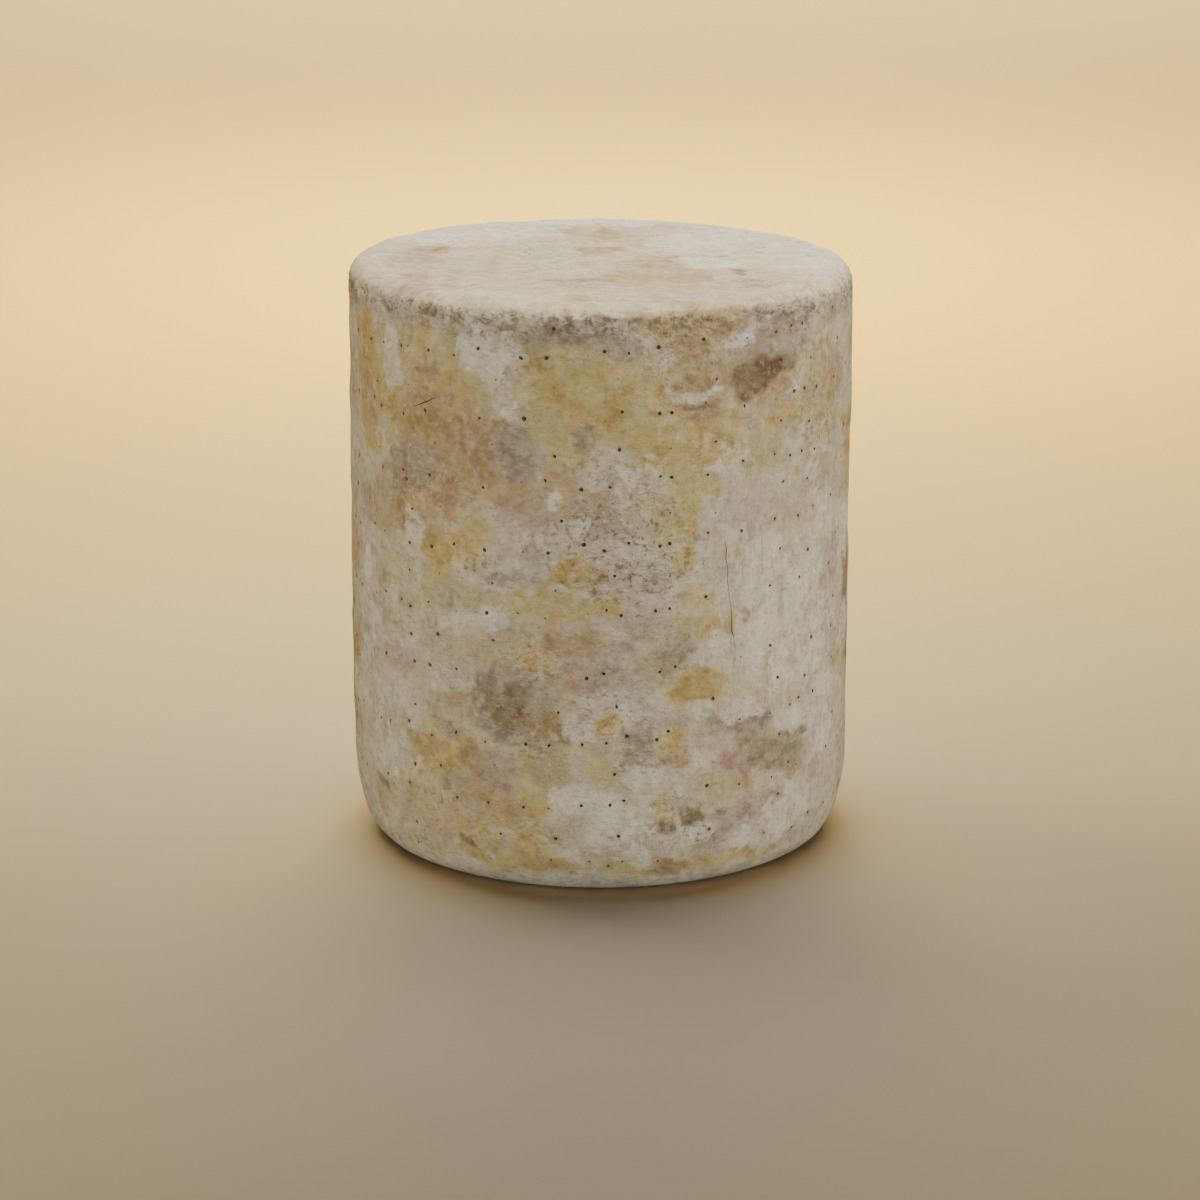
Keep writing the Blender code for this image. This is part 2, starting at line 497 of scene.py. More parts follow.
def rind_cutter():
    """One object that holds every needle and every crack."""
    tears = random.Random(TEAR_SEED)
    shape = bmesh.new()
    for hole in holes:
        add_needle(shape, hole, HOLE_DEPTH, tears)
    for hole in healed_holes:
        add_needle(shape, hole, HEALED_DEPTH, tears)
    for crack in CRACKS:
        add_crack(shape, *crack)
    bmesh.ops.recalc_face_normals(shape, faces=shape.faces)
    for face in shape.faces:
        face.material_index = 1
    mesh = bpy.data.meshes.new("needles and cracks")
    shape.to_mesh(mesh)
    shape.free()
    cutter = bpy.data.objects.new("cutter", mesh)
    bpy.context.scene.collection.objects.link(cutter)
    return cutter


def pierce(drum, cutter):
    """Cut the needles and cracks out of the drum for good."""
    cut = drum.modifiers.new("piercing", "BOOLEAN")
    cut.operation = "DIFFERENCE"
    cut.solver = "MANIFOLD"
    cut.object = cutter
    old = drum.data
    drum.data = result_mesh(drum)
    drum.modifiers.clear()
    for spare in (old, cutter.data):
        bpy.data.meshes.remove(spare)


def split_many_sided(mesh):
    """Turn the faces that the cuts left with more than four sides into well-shaped triangles."""
    shape = bmesh.new()
    shape.from_mesh(mesh)
    many_sided = [face for face in shape.faces if len(face.verts) > 4]
    bmesh.ops.triangulate(shape, faces=many_sided, ngon_method="BEAUTY")
    shape.to_mesh(mesh)
    shape.free()


rind_finish = bpy.data.materials.new("rind")
hole_finish = bpy.data.materials.new("needle_hole")
cutter = rind_cutter()
for thing in (rind, cutter):
    thing.data.materials.append(rind_finish)
    thing.data.materials.append(hole_finish)
pierce(rind, cutter)
split_many_sided(rind.data)
rind.data.shade_smooth()
rind.data.set_sharp_from_angle(angle=SHARP_ANGLE)
wall_faces = sum(face.material_index == 1 for face in rind.data.polygons)
print("faces:", len(rind.data.polygons), "of which hole walls:", wall_faces)

# %% [markdown]
# ## Where the stains are
#
# The rind's colours are living things. Yeasts make gold and ochre patches, bacteria make tan,
# rosy and mauve ones, and dry white bloom lies over them all. A noise texture alone would give
# a pattern with no places in it, so each stain is a soft spot with a place of its own, and
# noise only frays its edges. A spot is (azimuth in degrees, height, half width, half height,
# strength), in millimetres along the skin.

# %% Place the stains of the front
FRONT_STAINS = {
    "gold": [
        (2, 194, 38, 22, 0.4), (-44, 194, 32, 20, 0.5), (-35, 44, 28, 20, 0.35), (-22, 22, 26, 14, 0.3),
        (-12, 115, 24, 12, 0.25), (18, 168, 16, 22, 0.4), (-50, 122, 22, 9, 0.25),
        (20, 100, 16, 24, 0.2), (47, 186, 14, 14, 0.2), (-36, 138, 14, 16, 0.45),
        (-12, 55, 14, 20, 0.25), (26, 11, 24, 5, 0.35), (-35, 198, 9, 9, 0.7), (-28, 202, 6, 8, 0.35),
        (-44, 189, 16, 8, 1.05), (-65, 203, 9, 16, 0.85), (-62, 174, 8, 8, 0.5), (2, 205, 30, 10, 0.55),
        (0, 197, 15, 10, 0.8), (-8, 203, 8, 8, 0.9), (-13, 212, 8, 5, 0.7), (15, 182, 18, 14, 0.7),
        (22, 188, 7, 5, 0.95), (21, 174, 7, 9, 0.85), (-38, 132, 8, 11, 0.8), (-22, 118, 8, 3, 0.5),
        (-6, 130, 7, 5, 1.0), (-10, 117, 11, 6, 0.5), (18, 84, 5, 4, 0.9), (23, 84, 8, 6, 1.3),
        (1, 71, 5, 4, 0.9), (32, 107, 4, 5, 0.9), (-40, 52, 14, 9, 0.7), (-33, 56, 8, 6, 0.6),
        (-47, 40, 7, 6, 0.3), (-34, 43, 9, 4, 0.6), (-27, 26, 14, 7, 0.45), (-16, 20, 10, 9, 0.7),
        (-13, 56, 4, 12, 0.6), (-15, 35, 6, 9, 0.5), (20, 11, 12, 4, 0.6), (34, 10, 22, 3, 0.5),
        (62, 198, 7, 9, 0.35), (-42, 62, 8, 4, 0.4), (17, 62, 4, 5, 0.6), (21, 105, 6, 4, 0.4),
        (22, 118, 8, 5, 0.4), (48, 74, 5, 7, 0.2), (18, 133, 4, 4, 0.7), (21, 150, 5, 9, 0.6),
        (-43, 218, 11, 5, 0.55), (19, 225, 14, 6, 0.8), (29, 227, 8, 4, 0.7), (-30, 142, 9, 6, 0.5),
        (-23, 13, 12, 5, 0.55), (29, 187, 6, 5, 0.5), (-14, 96, 7, 6, 0.5), (32, 135, 5, 5, 0.4),
        (13, 33, 6, 6, 0.4), (-66, 180, 8, 6, 0.7), (-46, 147, 6, 4, 0.5), (46, 186, 8, 4, 0.5),
        (28, 178, 8, 7, 0.7), (26, 103, 5, 4, 1.2), (34, 109, 3, 4, 0.7), (22, 77, 6, 4, 1.0),
        (0, 52, 6, 5, 0.4), (-8, 44, 5, 5, 0.5), (-14, 12, 14, 4, 0.9), (-30, 13, 7, 4, 0.8),
        (6, 10, 12, 3, 0.6), (48, 162, 4, 4, 0.5), (47, 177, 4, 4, 0.4), (45, 128, 4, 5, 0.3),
        (-35, 145, 8, 3, 0.5), (1, 116, 6, 4, 0.5), (-2, 23, 8, 4, 0.35), (-40, 27, 12, 6, 0.35),
        (60, 184, 6, 4, 0.3),
    ],
    "tan": [
        (-38, 180, 18, 14, 1.0), (-36, 162, 14, 12, 0.8), (-26, 176, 9, 12, 0.85),
        (-18, 156, 10, 6, 0.75), (-10, 166, 7, 7, 0.5), (-49, 147, 7, 6, 0.8), (-42, 202, 8, 6, 0.7),
        (-7, 102, 12, 6, 0.6), (-3, 154, 11, 8, 0.65), (20, 226, 13, 4, 0.5), (-31, 55, 6, 5, 1.1),
        (-27, 50, 7, 6, 0.7), (-28, 38, 10, 6, 0.45), (37, 197, 8, 5, 0.8), (21, 201, 8, 6, 0.6),
        (22, 190, 6, 4, 0.85), (-62, 187, 12, 12, 0.45), (64, 197, 7, 10, 0.65), (-22, 33, 8, 6, 0.4),
        (14, 150, 9, 5, 0.35), (16, 56, 6, 3, 0.7), (-6, 88, 8, 6, 0.5), (-13, 66, 6, 6, 0.5),
        (20, 215, 9, 5, 0.7), (31, 208, 6, 5, 0.5), (58, 204, 8, 10, 0.35), (-2, 127, 6, 4, 0.6),
        (30, 228, 8, 4, 0.5), (34, 41, 5, 4, 0.4), (50, 42, 6, 4, 0.6), (16, 11, 9, 4, 0.9),
        (-44, 56, 9, 4, 0.5), (-57, 116, 6, 3, 0.6), (-33, 76, 6, 4, 0.5), (-58, 138, 8, 5, 0.5),
        (-16, 20, 6, 8, 0.4), (-32, 30, 8, 5, 0.4), (31, 106, 3, 4, 0.5), (-47, 148, 9, 8, 0.55),
        (-46, 168, 9, 7, 0.7), (-20, 161, 12, 6, 0.5), (44, 199, 5, 4, 0.7), (24, 226, 12, 4, 0.7),
        (10, 229, 10, 3, 0.5), (-12, 11, 12, 3, 0.5), (34, 109, 3, 4, 0.6), (-11, 70, 5, 6, 0.6),
        (31, 201, 6, 3.5, 0.9), (24, 193, 8, 6, 0.6), (-36, 199, 5, 4, 0.8), (-5, 217, 6, 4, 0.6),
        (-45, 165, 8, 9, 0.6), (-32, 152, 10, 3, 0.5), (-3, 124, 5, 2.5, 0.6), (34, 108, 3, 5, 0.8),
        (-8, 43, 5, 3, 0.6), (-25, 19, 6, 4, 0.5), (-21, 92, 5, 3, 0.4),
    ],
    "mauve": [
        (-46, 165, 12, 11, 0.7), (-19, 175, 8, 10, 0.85), (-22, 78, 13, 11, 1.05),
        (-19, 84, 7, 7, 0.75), (-22, 68, 10, 7, 0.95), (8, 127, 14, 9, 0.25), (-18, 130, 16, 8, 0.3),
        (-14, 142, 14, 8, 0.25), (45, 51, 15, 8, 0.85), (36, 57, 8, 5, 0.9), (48, 44, 9, 5, 0.6),
        (9, 63, 8, 8, 0.6), (-26, 51, 6, 8, 0.45), (16, 97, 8, 8, 0.5), (3, 92, 14, 9, 0.45),
        (10, 108, 12, 7, 0.4), (-8, 220, 16, 5, 0.65), (-3, 183, 4, 4, 0.5), (34, 66, 14, 5, 0.7),
        (66, 124, 6, 10, 0.3), (26, 26, 10, 7, 0.5), (45, 213, 16, 7, 0.6), (0, 151, 14, 8, 0.3),
        (9, 75, 6, 8, 0.45), (33, 145, 10, 8, 0.35), (-12, 78, 6, 6, 0.5), (38, 31, 10, 6, 0.6),
        (60, 156, 8, 10, 0.35), (58, 45, 6, 12, 0.4), (-40, 145, 8, 6, 0.35), (-12, 52, 5, 10, 0.4),
        (39, 209, 10, 3, 0.9), (-14, 60, 3, 5, 0.5), (-36, 62, 7, 3, 0.6), (48, 222, 12, 4, 0.5),
        (-47, 196, 6, 6, 0.35), (50, 59, 8, 3, 0.7), (33, 58, 5, 3, 0.7), (-47, 170, 10, 6, 0.5),
        (5, 217, 7, 4, 0.5), (-46, 155, 6, 4, 0.6), (-22, 128, 9, 4, 0.6), (-34, 41, 8, 3, 0.7),
        (44, 90, 10, 4, 0.3),
    ],
    "umber": [
        (36, 202, 7, 5.5, 1.5), (41, 207, 8, 3.5, 0.95), (33, 196, 4, 4, 0.7), (21, 33, 5, 3, 0.8),
        (-31, 19, 2.5, 3, 0.7), (-5, 101, 5, 3, 0.35), (-20, 76, 7, 8, 0.7), (-56, 224, 4, 1.5, 0.8),
        (-41, 227, 4, 2, 0.8), (-60, 33, 4, 2, 0.6), (-47, 226, 6, 3, 0.25), (-34, 225, 7, 3, 0.25),
        (-26, 226, 5, 3, 0.3), (-17, 226, 7, 3, 0.35), (-9, 225, 8, 4, 0.35), (-1, 227, 6, 3, 0.35),
        (6, 225, 5, 3, 0.25), (14, 224, 6, 3, 0.3), (21, 193.5, 8, 1.5, 0.7), (45, 224, 7, 3, 0.4),
        (40, 54, 8, 4, 0.5), (-3, 180, 5, 4, 0.4), (-14, 68, 5, 5, 0.4), (28, 33, 4, 1.5, 0.5),
        (50, 59, 7, 2.5, 0.5), (33, 58, 4, 2.5, 0.5), (24, 200, 4, 3, 0.5), (-46, 155, 6, 3, 0.35),
        (-55, 166, 4, 3, 0.4), (38, 228, 8, 2.5, 0.4), (2, 126, 4, 2, 0.4), (15, 27, 4, 3, 0.5),
        (-8, 65, 3, 3, 0.5), (37, 203, 5, 4, 0.8),
    ],
    "rose": [
        (32, 51, 8, 4, 1.5), (35, 49, 3, 7, 1.0), (5, 165, 10, 7, 0.45), (-47, 163, 12, 9, 0.5),
        (14, 55, 8, 1.5, 0.7), (-23, 50, 6, 7, 0.9), (1, 228, 3, 1.5, 0.8), (39, 210, 8, 3, 0.6),
        (-63, 95, 13, 10, 0.45), (24, 22, 7, 5, 0.45), (47, 88, 7, 3, 0.3), (-5, 90, 7, 7, 0.6),
        (2, 150, 8, 6, 0.5), (34, 215, 9, 4, 0.45), (-15, 154, 12, 6, 0.5), (-54, 159, 12, 9, 0.45),
        (-64, 142, 8, 9, 0.6), (-52, 86, 12, 5, 0.35), (66, 142, 4, 5, 0.4), (59, 112, 7, 3, 0.7),
        (66, 198, 5, 8, 0.5), (-3, 156, 7, 4, 0.5), (-22, 42, 5, 4, 0.4), (-40, 100, 10, 6, 0.35),
        (-44, 166, 8, 10, 0.6), (-37, 116, 7, 5, 0.4),
    ],
    "olive": [
        (47, 184, 6, 4, 0.85), (-14, 219, 12, 5, 0.75), (-39, 131, 7, 9, 0.5), (58, 110, 9, 4, 0.4),
        (66, 80, 8, 6, 0.4), (-58, 52, 12, 8, 0.3), (18, 168, 9, 9, 0.5), (40, 215, 6, 4, 0.3),
        (-45, 218, 8, 4, 0.5), (-13, 51, 5, 14, 0.9), (-30, 118, 9, 6, 0.5), (-12, 195, 9, 5, 0.5),
        (44, 50, 13, 7, 0.7), (36, 172, 8, 8, 0.4), (-54, 185, 8, 6, 0.4), (-33, 215, 6, 6, 0.5),
        (10, 185, 8, 8, 0.4), (-4, 72, 6, 5, 0.3), (20, 105, 6, 5, 0.75), (-8, 26, 8, 6, 0.4),
        (-40, 47, 10, 5, 0.6), (16, 143, 7, 14, 0.5), (-27, 190, 5, 8, 0.4), (22, 86, 6, 3, 0.6),
        (-12, 185, 12, 8, 0.5), (-38, 118, 10, 8, 0.45), (-28, 66, 5, 5, 0.4), (16, 36, 7, 6, 0.4),
        (-36, 41, 6, 4, 0.9), (-32, 215, 5, 6, 0.6), (-54, 179, 4, 6, 0.6), (-54, 213, 10, 5, 0.7),
        (-11, 72, 5, 7, 0.6), (-18, 50, 4, 8, 0.4), (28, 179, 6, 6, 0.4), (-38, 212, 4, 4, 0.6),
        (50, 38, 5, 4, 0.7), (41, 59, 5, 4, 0.6), (-50, 102, 7, 3, 0.6), (22, 190, 8, 4, 0.4),
    ],
    "bloom": [
        (-27, 213, 7, 8, 0.8), (-23, 204, 7, 8, 0.6), (-20, 193, 5, 5, 0.35), (-19, 214, 6, 6, 0.5),
        (9, 170, 9, 6, 0.35), (3, 163, 7, 5, 0.25), (-9.5, 159, 3, 3, 0.8), (-23, 108, 5, 4, 0.75),
        (43, 113, 15, 14, 0.6), (37, 99, 9, 15, 0.65), (46, 87, 12, 11, 0.55), (37, 131, 15, 12, 0.5),
        (33, 141, 8, 8, 0.4), (-62, 68, 14, 10, 0.4), (-60, 48, 14, 12, 0.35), (-63, 95, 12, 11, 0.5),
        (-3, 40, 12, 6, 0.6), (5, 30, 12, 8, 0.5), (0, 24, 10, 5, 0.4), (50, 25, 14, 10, 0.65),
        (8, 74, 7, 5, 0.4), (-53, 206, 6, 12, 0.55), (-45, 141, 6, 6, 0.5), (21.5, 197.6, 5, 1.2, 0.9),
        (26, 198.5, 3, 1, 0.7), (49, 63, 6, 4, 0.6), (33, 220, 7, 3.5, 0.5), (-37, 103, 7, 7, 0.3),
        (-48, 100, 10, 10, 0.3), (30, 172, 9, 7, 0.35), (47, 196, 5, 4, 0.35), (10, 50, 8, 5, 0.55),
        (58, 95, 12, 20, 0.5), (52, 125, 14, 12, 0.5), (60, 62, 11, 20, 0.6), (-66, 130, 8, 14, 0.3),
        (23, 74, 7, 4, 0.5), (60, 160, 10, 16, 0.3), (28, 99, 7, 6, 0.5), (-4, 66, 6, 5, 0.4),
        (12, 210, 8, 5, 0.4), (62, 140, 9, 9, 0.6), (33, 71, 10, 5, 0.6), (23, 27, 8, 4, 0.6),
        (35, 16, 8, 4, 0.6), (16, 141, 5, 5, 0.3), (-5, 149, 5, 5, 0.4), (-55, 112, 8, 5, 0.3),
        (6, 15, 10, 4, 0.5), (-68, 110, 5, 12, 0.5), (-69, 80, 4, 10, 0.6), (-43, 47, 6, 5, 0.3),
        (13, 80, 5, 4, 0.3),
    ],
    "beige": [
        (0, 197, 18, 14, 0.9), (-20, 162, 14, 7, 0.8), (-36, 70, 12, 8, 0.7), (-27, 38, 16, 10, 1.1),
        (-43, 25, 15, 11, 1.0), (-12, 55, 8, 11, 1.3), (-47, 108, 18, 14, 0.45), (-30, 95, 14, 9, 0.7),
        (12, 150, 12, 10, 0.7), (17, 64, 6, 8, 0.7), (13, 95, 9, 8, 0.6), (20, 68, 8, 8, 0.4),
        (30, 66, 14, 8, 0.9), (42, 60, 12, 6, 0.6), (28, 37, 14, 12, 0.7), (-5, 90, 14, 8, 0.7),
        (-10, 110, 16, 10, 0.6), (5, 115, 12, 10, 0.4), (48, 190, 22, 14, 0.9), (60, 174, 14, 22, 0.6),
        (40, 176, 12, 12, 0.6), (24, 213, 18, 9, 0.9), (-34, 212, 12, 7, 0.6), (-55, 148, 14, 18, 0.6),
        (-58, 28, 14, 12, 0.5), (5, 20, 16, 8, 0.5), (0, 62, 10, 8, 0.5), (10, 42, 10, 8, 0.6),
        (-64, 120, 8, 6, 0.3), (-8, 172, 9, 8, 0.7), (10, 176, 14, 6, 0.5), (50, 150, 14, 12, 0.4),
        (57, 75, 12, 10, 0.3), (-20, 102, 12, 10, 0.6), (-46, 146, 9, 8, 0.7), (40, 30, 12, 10, 0.5),
        (-11, 72, 6, 8, 0.9), (0, 50, 8, 7, 0.6), (-15, 12, 16, 5, 0.6), (0, 24, 12, 5, 0.7),
        (-8, 78, 4, 8, 0.5), (45, 118, 4, 5, 0.7), (31, 200, 8, 6, 0.6),
    ],
    "mint": [
        (-58, 55, 14, 16, 0.9), (-50, 125, 14, 12, 0.6), (-45, 74, 12, 6, 0.5), (-38, 118, 12, 10, 0.5),
        (8, 204, 5, 4, 0.7), (5, 165, 10, 8, 0.6), (10, 140, 8, 14, 0.5), (42, 112, 12, 14, 0.5),
        (58, 75, 12, 12, 0.6), (12, 36, 14, 12, 0.6), (-4, 45, 8, 8, 0.6), (-26, 20, 8, 8, 0.4),
        (46, 24, 14, 12, 0.6), (28, 98, 8, 8, 0.4), (-15, 125, 10, 8, 0.5), (62, 20, 12, 12, 0.5),
        (-65, 160, 8, 8, 0.5), (48, 198, 5, 4, 0.6), (56, 120, 8, 6, 0.5), (-27, 135, 8, 10, 0.5),
        (8, 74, 8, 8, 0.6), (-2, 28, 8, 6, 0.5), (-55, 90, 10, 8, 0.6), (64, 108, 6, 6, 0.6),
        (-66, 60, 8, 10, 0.6),
    ],
    "lilac": [
        (-14, 153, 16, 8, 0.7), (0, 136, 15, 14, 0.5), (-3, 160, 8, 6, 0.6), (10, 121, 10, 10, 0.7),
        (-62, 96, 14, 10, 0.9), (-50, 86, 14, 8, 0.7), (-34, 88, 10, 8, 0.6), (-22, 208, 8, 12, 0.5),
        (-20, 190, 8, 6, 0.6), (36, 150, 14, 12, 0.6), (48, 92, 12, 8, 0.7), (64, 126, 8, 8, 0.5),
        (64, 112, 8, 8, 0.5), (40, 213, 20, 6, 0.8), (56, 45, 8, 12, 0.6), (38, 30, 14, 9, 0.9),
        (-36, 30, 10, 6, 0.7), (-26, 48, 8, 8, 0.7), (-45, 20, 10, 6, 0.6), (26, 60, 8, 5, 0.6),
        (20, 74, 10, 5, 0.6), (-10, 190, 6, 5, 0.4), (30, 15, 16, 6, 0.5), (-8, 28, 8, 6, 0.5),
        (-60, 208, 8, 8, 0.6), (2, 100, 10, 6, 0.5), (24, 145, 8, 8, 0.5), (3, 119, 7, 6, 0.8),
        (-5, 111, 10, 6, 0.7), (15, 140, 6, 6, 0.5), (43, 90, 12, 6, 0.7), (66, 92, 6, 6, 0.5),
        (52, 152, 8, 8, 0.4),
    ],
    "brushed": [
        (38, 110, 24, 62, 0.8), (62, 150, 14, 74, 1.0), (-64, 110, 12, 84, 0.9), (48, 30, 14, 22, 0.7),
        (-30, 205, 8, 16, 0.5), (30, 175, 8, 26, 0.5), (58, 45, 10, 20, 1.0),
    ],
    "grain": [
        (5, 140, 24, 20, 0.95), (-27, 130, 13, 6, 0.6), (0, 75, 12, 9, 0.6), (15, 30, 9, 9, 0.5),
        (-15, 95, 10, 8, 0.6), (0, 150, 10, 9, 0.7), (-3, 172, 10, 8, 0.4), (10, 58, 12, 6, 0.5),
        (-16, 65, 8, 8, 0.6), (20, 30, 9, 7, 0.6), (-40, 30, 12, 8, 0.4), (20, 226, 18, 6, 0.7),
        (-30, 225, 22, 5, 0.8), (-5, 225, 24, 5, 0.9), (46, 224, 18, 6, 0.6), (8, 120, 10, 10, 0.6),
        (-20, 208, 6, 8, 0.5), (56, 185, 14, 14, 0.5), (22, 214, 16, 10, 0.5), (-42, 160, 16, 14, 0.3),
    ],
}
print("stains on the front:", sum(len(spots) for spots in FRONT_STAINS.values()))

# %% [markdown]
# The top has fewer and fainter stains. Their places are x and y on the drum's plan instead of
# azimuth and height.

# %% Place the stains of the top
TOP_STAINS = {
    "gold": [
        (17, -42, 14, 11, 0.7), (-36, -29, 11, 8, 0.4), (36, -45, 9, 7, 0.35), (20, -62, 8, 9, 0.35),
    ],
    "tan": [
        (-64, 19, 5, 9, 0.7), (-51, 28, 6, 7, 0.4), (-11, 62, 5, 9, 0.5), (2, 55, 6, 14, 0.6),
        (0, 20, 9, 8, 0.75), (-6, -10, 4, 7, 0.5), (24, 4, 6, 12, 0.45), (21, -13, 10, 11, 0.45),
        (33, -40, 14, 9, 0.45), (33, -90, 9, 4, 0.4), (-30, -27, 5, 5, 0.4), (10, -35, 8, 8, 0.5),
    ],
    "mauve": [(-8, -46, 14, 5, 0.7), (44, 21, 7, 4, 0.4), (50, 2, 4, 10, 0.4), (58, -50, 12, 8, 0.4)],
    "umber": [(54, -28, 3, 7, 0.7), (31, 4, 3, 4, 0.5)],
    "rose": [
        (-72, 5, 4, 18, 0.6), (-72, -46, 6, 16, 0.5), (-66, -62, 12, 9, 0.4), (12, 35, 8, 24, 0.3),
    ],
    "olive": [
        (-7, -80, 6, 9, 0.75), (-79, -9, 7, 14, 0.5), (-58, -22, 20, 24, 0.3), (-24, 18, 10, 44, 0.3),
    ],
    "bloom": [
        (-58, 56, 30, 26, 0.8), (37, 36, 16, 20, 0.7), (44, -8, 11, 14, 0.6), (80, 14, 16, 44, 0.6),
        (60, 62, 26, 22, 0.6), (-2, 86, 40, 8, 0.7),
    ],
    "beige": [
        (24, -30, 24, 30, 0.7), (-45, 10, 12, 50, 0.5), (-30, -50, 24, 20, 0.5), (2, 50, 14, 26, 0.5),
    ],
    "mint": [
        (-55, -30, 24, 26, 0.7), (-22, 20, 10, 50, 0.7), (-46, 60, 16, 20, 0.4), (10, -84, 20, 8, 0.5),
    ],
    "lilac": [
        (-10, -52, 30, 18, 0.8), (40, -70, 40, 18, 0.8), (-66, -45, 16, 26, 0.7), (20, 66, 14, 26, 0.6),
        (-68, 8, 10, 24, 0.6), (60, -36, 20, 16, 0.6), (6, 0, 10, 40, 0.4), (70, 40, 20, 30, 0.4),
    ],
    "brushed": [],
    "grain": [(-24, 16, 10, 40, 0.3)],
}
print("stains on the top:", sum(len(spots) for spots in TOP_STAINS.values()))

# %% [markdown]
# Nobody sees the front and the back at once, yet both are judged. The back gets stains of the
# same kinds, sizes and strengths from a seeded draw, so it looks like the same cheese and comes
# out the same each time.

# %% Draw the stains of the back and the base
BACK_SEED = 41
BACK_START = 74
BACK_COUNTS = {
    "gold": 66, "tan": 34, "mauve": 30, "umber": 12, "rose": 20, "olive": 26, "bloom": 40, "beige": 44,
    "mint": 26, "lilac": 34, "brushed": 7, "grain": 16,
}
RIM_SPOTS = 220
RIM_TURNS = (130, 235)
STAIN_HEIGHTS = (8, 226)
BASE_REACH = (-70, 70)
BASE_PART = 4
BASE_SIZES = (6, 16)
BASE_STRENGTHS = (0.3, 0.7)


def turned_rim_stains(kind):
    """The front's spots under the rim, turned round to the half that faces away."""
    under_rim = [spot for spot in FRONT_STAINS[kind] if spot[1] > RIM_SPOTS]
    turned = [(azimuth + turn, *rest) for turn in RIM_TURNS for azimuth, *rest in under_rim]
    return [spot for spot in turned if BACK_START < spot[0] < 360 - BACK_START]


def back_stains(draw):
    """Spots for the half that faces away, like those of the front."""
    found = {}
    for kind, count in BACK_COUNTS.items():
        found[kind] = turned_rim_stains(kind)
        for _ in range(count):
            like = draw.choice(FRONT_STAINS[kind])
            azimuth = draw.uniform(BACK_START, 360 - BACK_START)
            height = draw.uniform(*STAIN_HEIGHTS)
            found[kind].append((azimuth, height, *like[2:]))
    return found


def base_stains(draw):
    """Faint spots for the base, as places on its plan."""
    found = {}
    for kind, count in BACK_COUNTS.items():
        ranges = (BASE_REACH, BASE_REACH)
        places = [[draw.uniform(*span) for span in ranges] for _ in range(count // BASE_PART)]
        ranges = (BASE_SIZES, BASE_SIZES, BASE_STRENGTHS)
        sizes = [[draw.uniform(*span) for span in ranges] for _ in places]
        found[kind] = [(*place, *size) for place, size in zip(places, sizes)]
    return found


draw = random.Random(BACK_SEED)
BACK_STAINS = back_stains(draw)
BASE_STAINS = base_stains(draw)
print("stains on the back:", sum(len(spots) for spots in BACK_STAINS.values()))

# %% [markdown]
# ## Put the stains on the mesh
#
# A vertex can carry numbers of its own, called attributes, and a shader can read them. Each kind
# of stain becomes one attribute that fades from the middle of each spot outwards. The places
# are shaken by noise first, so that no spot keeps the round shape it is written with.

# %% Measure each vertex
SHAKE_SIZES = ((16 * MM, 0.5), (6 * MM, 0.3))
SPOT_SHAKE = 8 * MM
ACROSS_PLACE = Vector((11.0, 0.0, 0.0))
UP_PLACE = Vector((0.0, 17.0, 0.0))
TOP_BEGINS = HEIGHT - 3.5 * MM
TOP_SOFTENS = 2.5 * MM
BASE_EDGE = FLAT_BASE - 6 * MM
BASE_SOFTENS = 8 * MM

points = np.array([vertex.co for vertex in rind.data.vertices])
azimuths = np.arctan2(points[:, 0], -points[:, 1])
radii = np.hypot(points[:, 0], points[:, 1])
tops = np.clip((points[:, 2] - TOP_BEGINS) / TOP_SOFTENS, 0, 1)
bases = np.clip((BASE_EDGE - radii) / BASE_SOFTENS, 0, 1) * (points[:, 2] < HEIGHT / 2)
sides = (1 - tops) * (1 - bases)


def shake(offset):
    """A smooth random move for every vertex, in metres."""
    moved = np.zeros(len(points))
    for size, share in SHAKE_SIZES:
        found = [noise.noise(Vector(point) / size + offset) for point in points]
        moved += share * np.array(found)
    return SPOT_SHAKE * moved


shake_across = shake(ACROSS_PLACE)
shake_up = shake(UP_PLACE)
print("vertices:", len(points))

# %% [markdown]
# ### From spots to attributes
#
# A stain grows outwards from where its mould or yeast first took hold, so it is strongest in the
# middle. The strength could be painted by hand in Blender, but a rule gives the same result each
# time. Where spots of one kind overlap, the stronger one counts, as it would on the rind.

# %% Turn spots into attributes
SPOT_FULL = 0.7
SPOT_END = 1.5


def spot_strength(spots, across, up):
    """The strongest of the spots at each vertex. across gives the way from a spot's middle."""
    strongest = np.zeros(len(points))
    for middle, level, half_width, half_height, strength in spots:
        wide = across(middle) / (half_width * MM)
        high = (up - level * MM) / (half_height * MM)
        fade = np.clip((SPOT_END - np.hypot(wide, high)) / (SPOT_END - SPOT_FULL), 0, 1)
        strongest = np.maximum(strongest, strength * fade)
    return strongest


def way_round(middle):
    """From an azimuth in degrees to each vertex, along the side."""
    turn = azimuths - math.radians(middle)
    return RADIUS * (turn - math.tau * np.round(turn / math.tau)) + shake_across


def way_across(middle):
    """From a place on the plan to each vertex, along x."""
    return points[:, 0] + shake_across - middle * MM


def keep_on_mesh(name, values):
    """Store one number for every vertex."""
    layer = rind.data.attributes.new(name, "FLOAT", "POINT")
    layer.data.foreach_set("value", values.astype(np.float32))


def stain_attribute(kind):
    """One kind of stain, all over the drum."""
    round_side = FRONT_STAINS[kind] + BACK_STAINS[kind]
    on_side = sides * spot_strength(round_side, way_round, points[:, 2] + shake_up)
    on_plan = points[:, 1] + shake_up
    on_top = tops * spot_strength(TOP_STAINS[kind], way_across, on_plan)
    on_base = bases * spot_strength(BASE_STAINS[kind], way_across, on_plan)
    return on_side + on_top + on_base


for kind in FRONT_STAINS:
    keep_on_mesh(kind, stain_attribute(kind))
print("attributes:", [layer.name for layer in rind.data.attributes if layer.data_type == "FLOAT"])

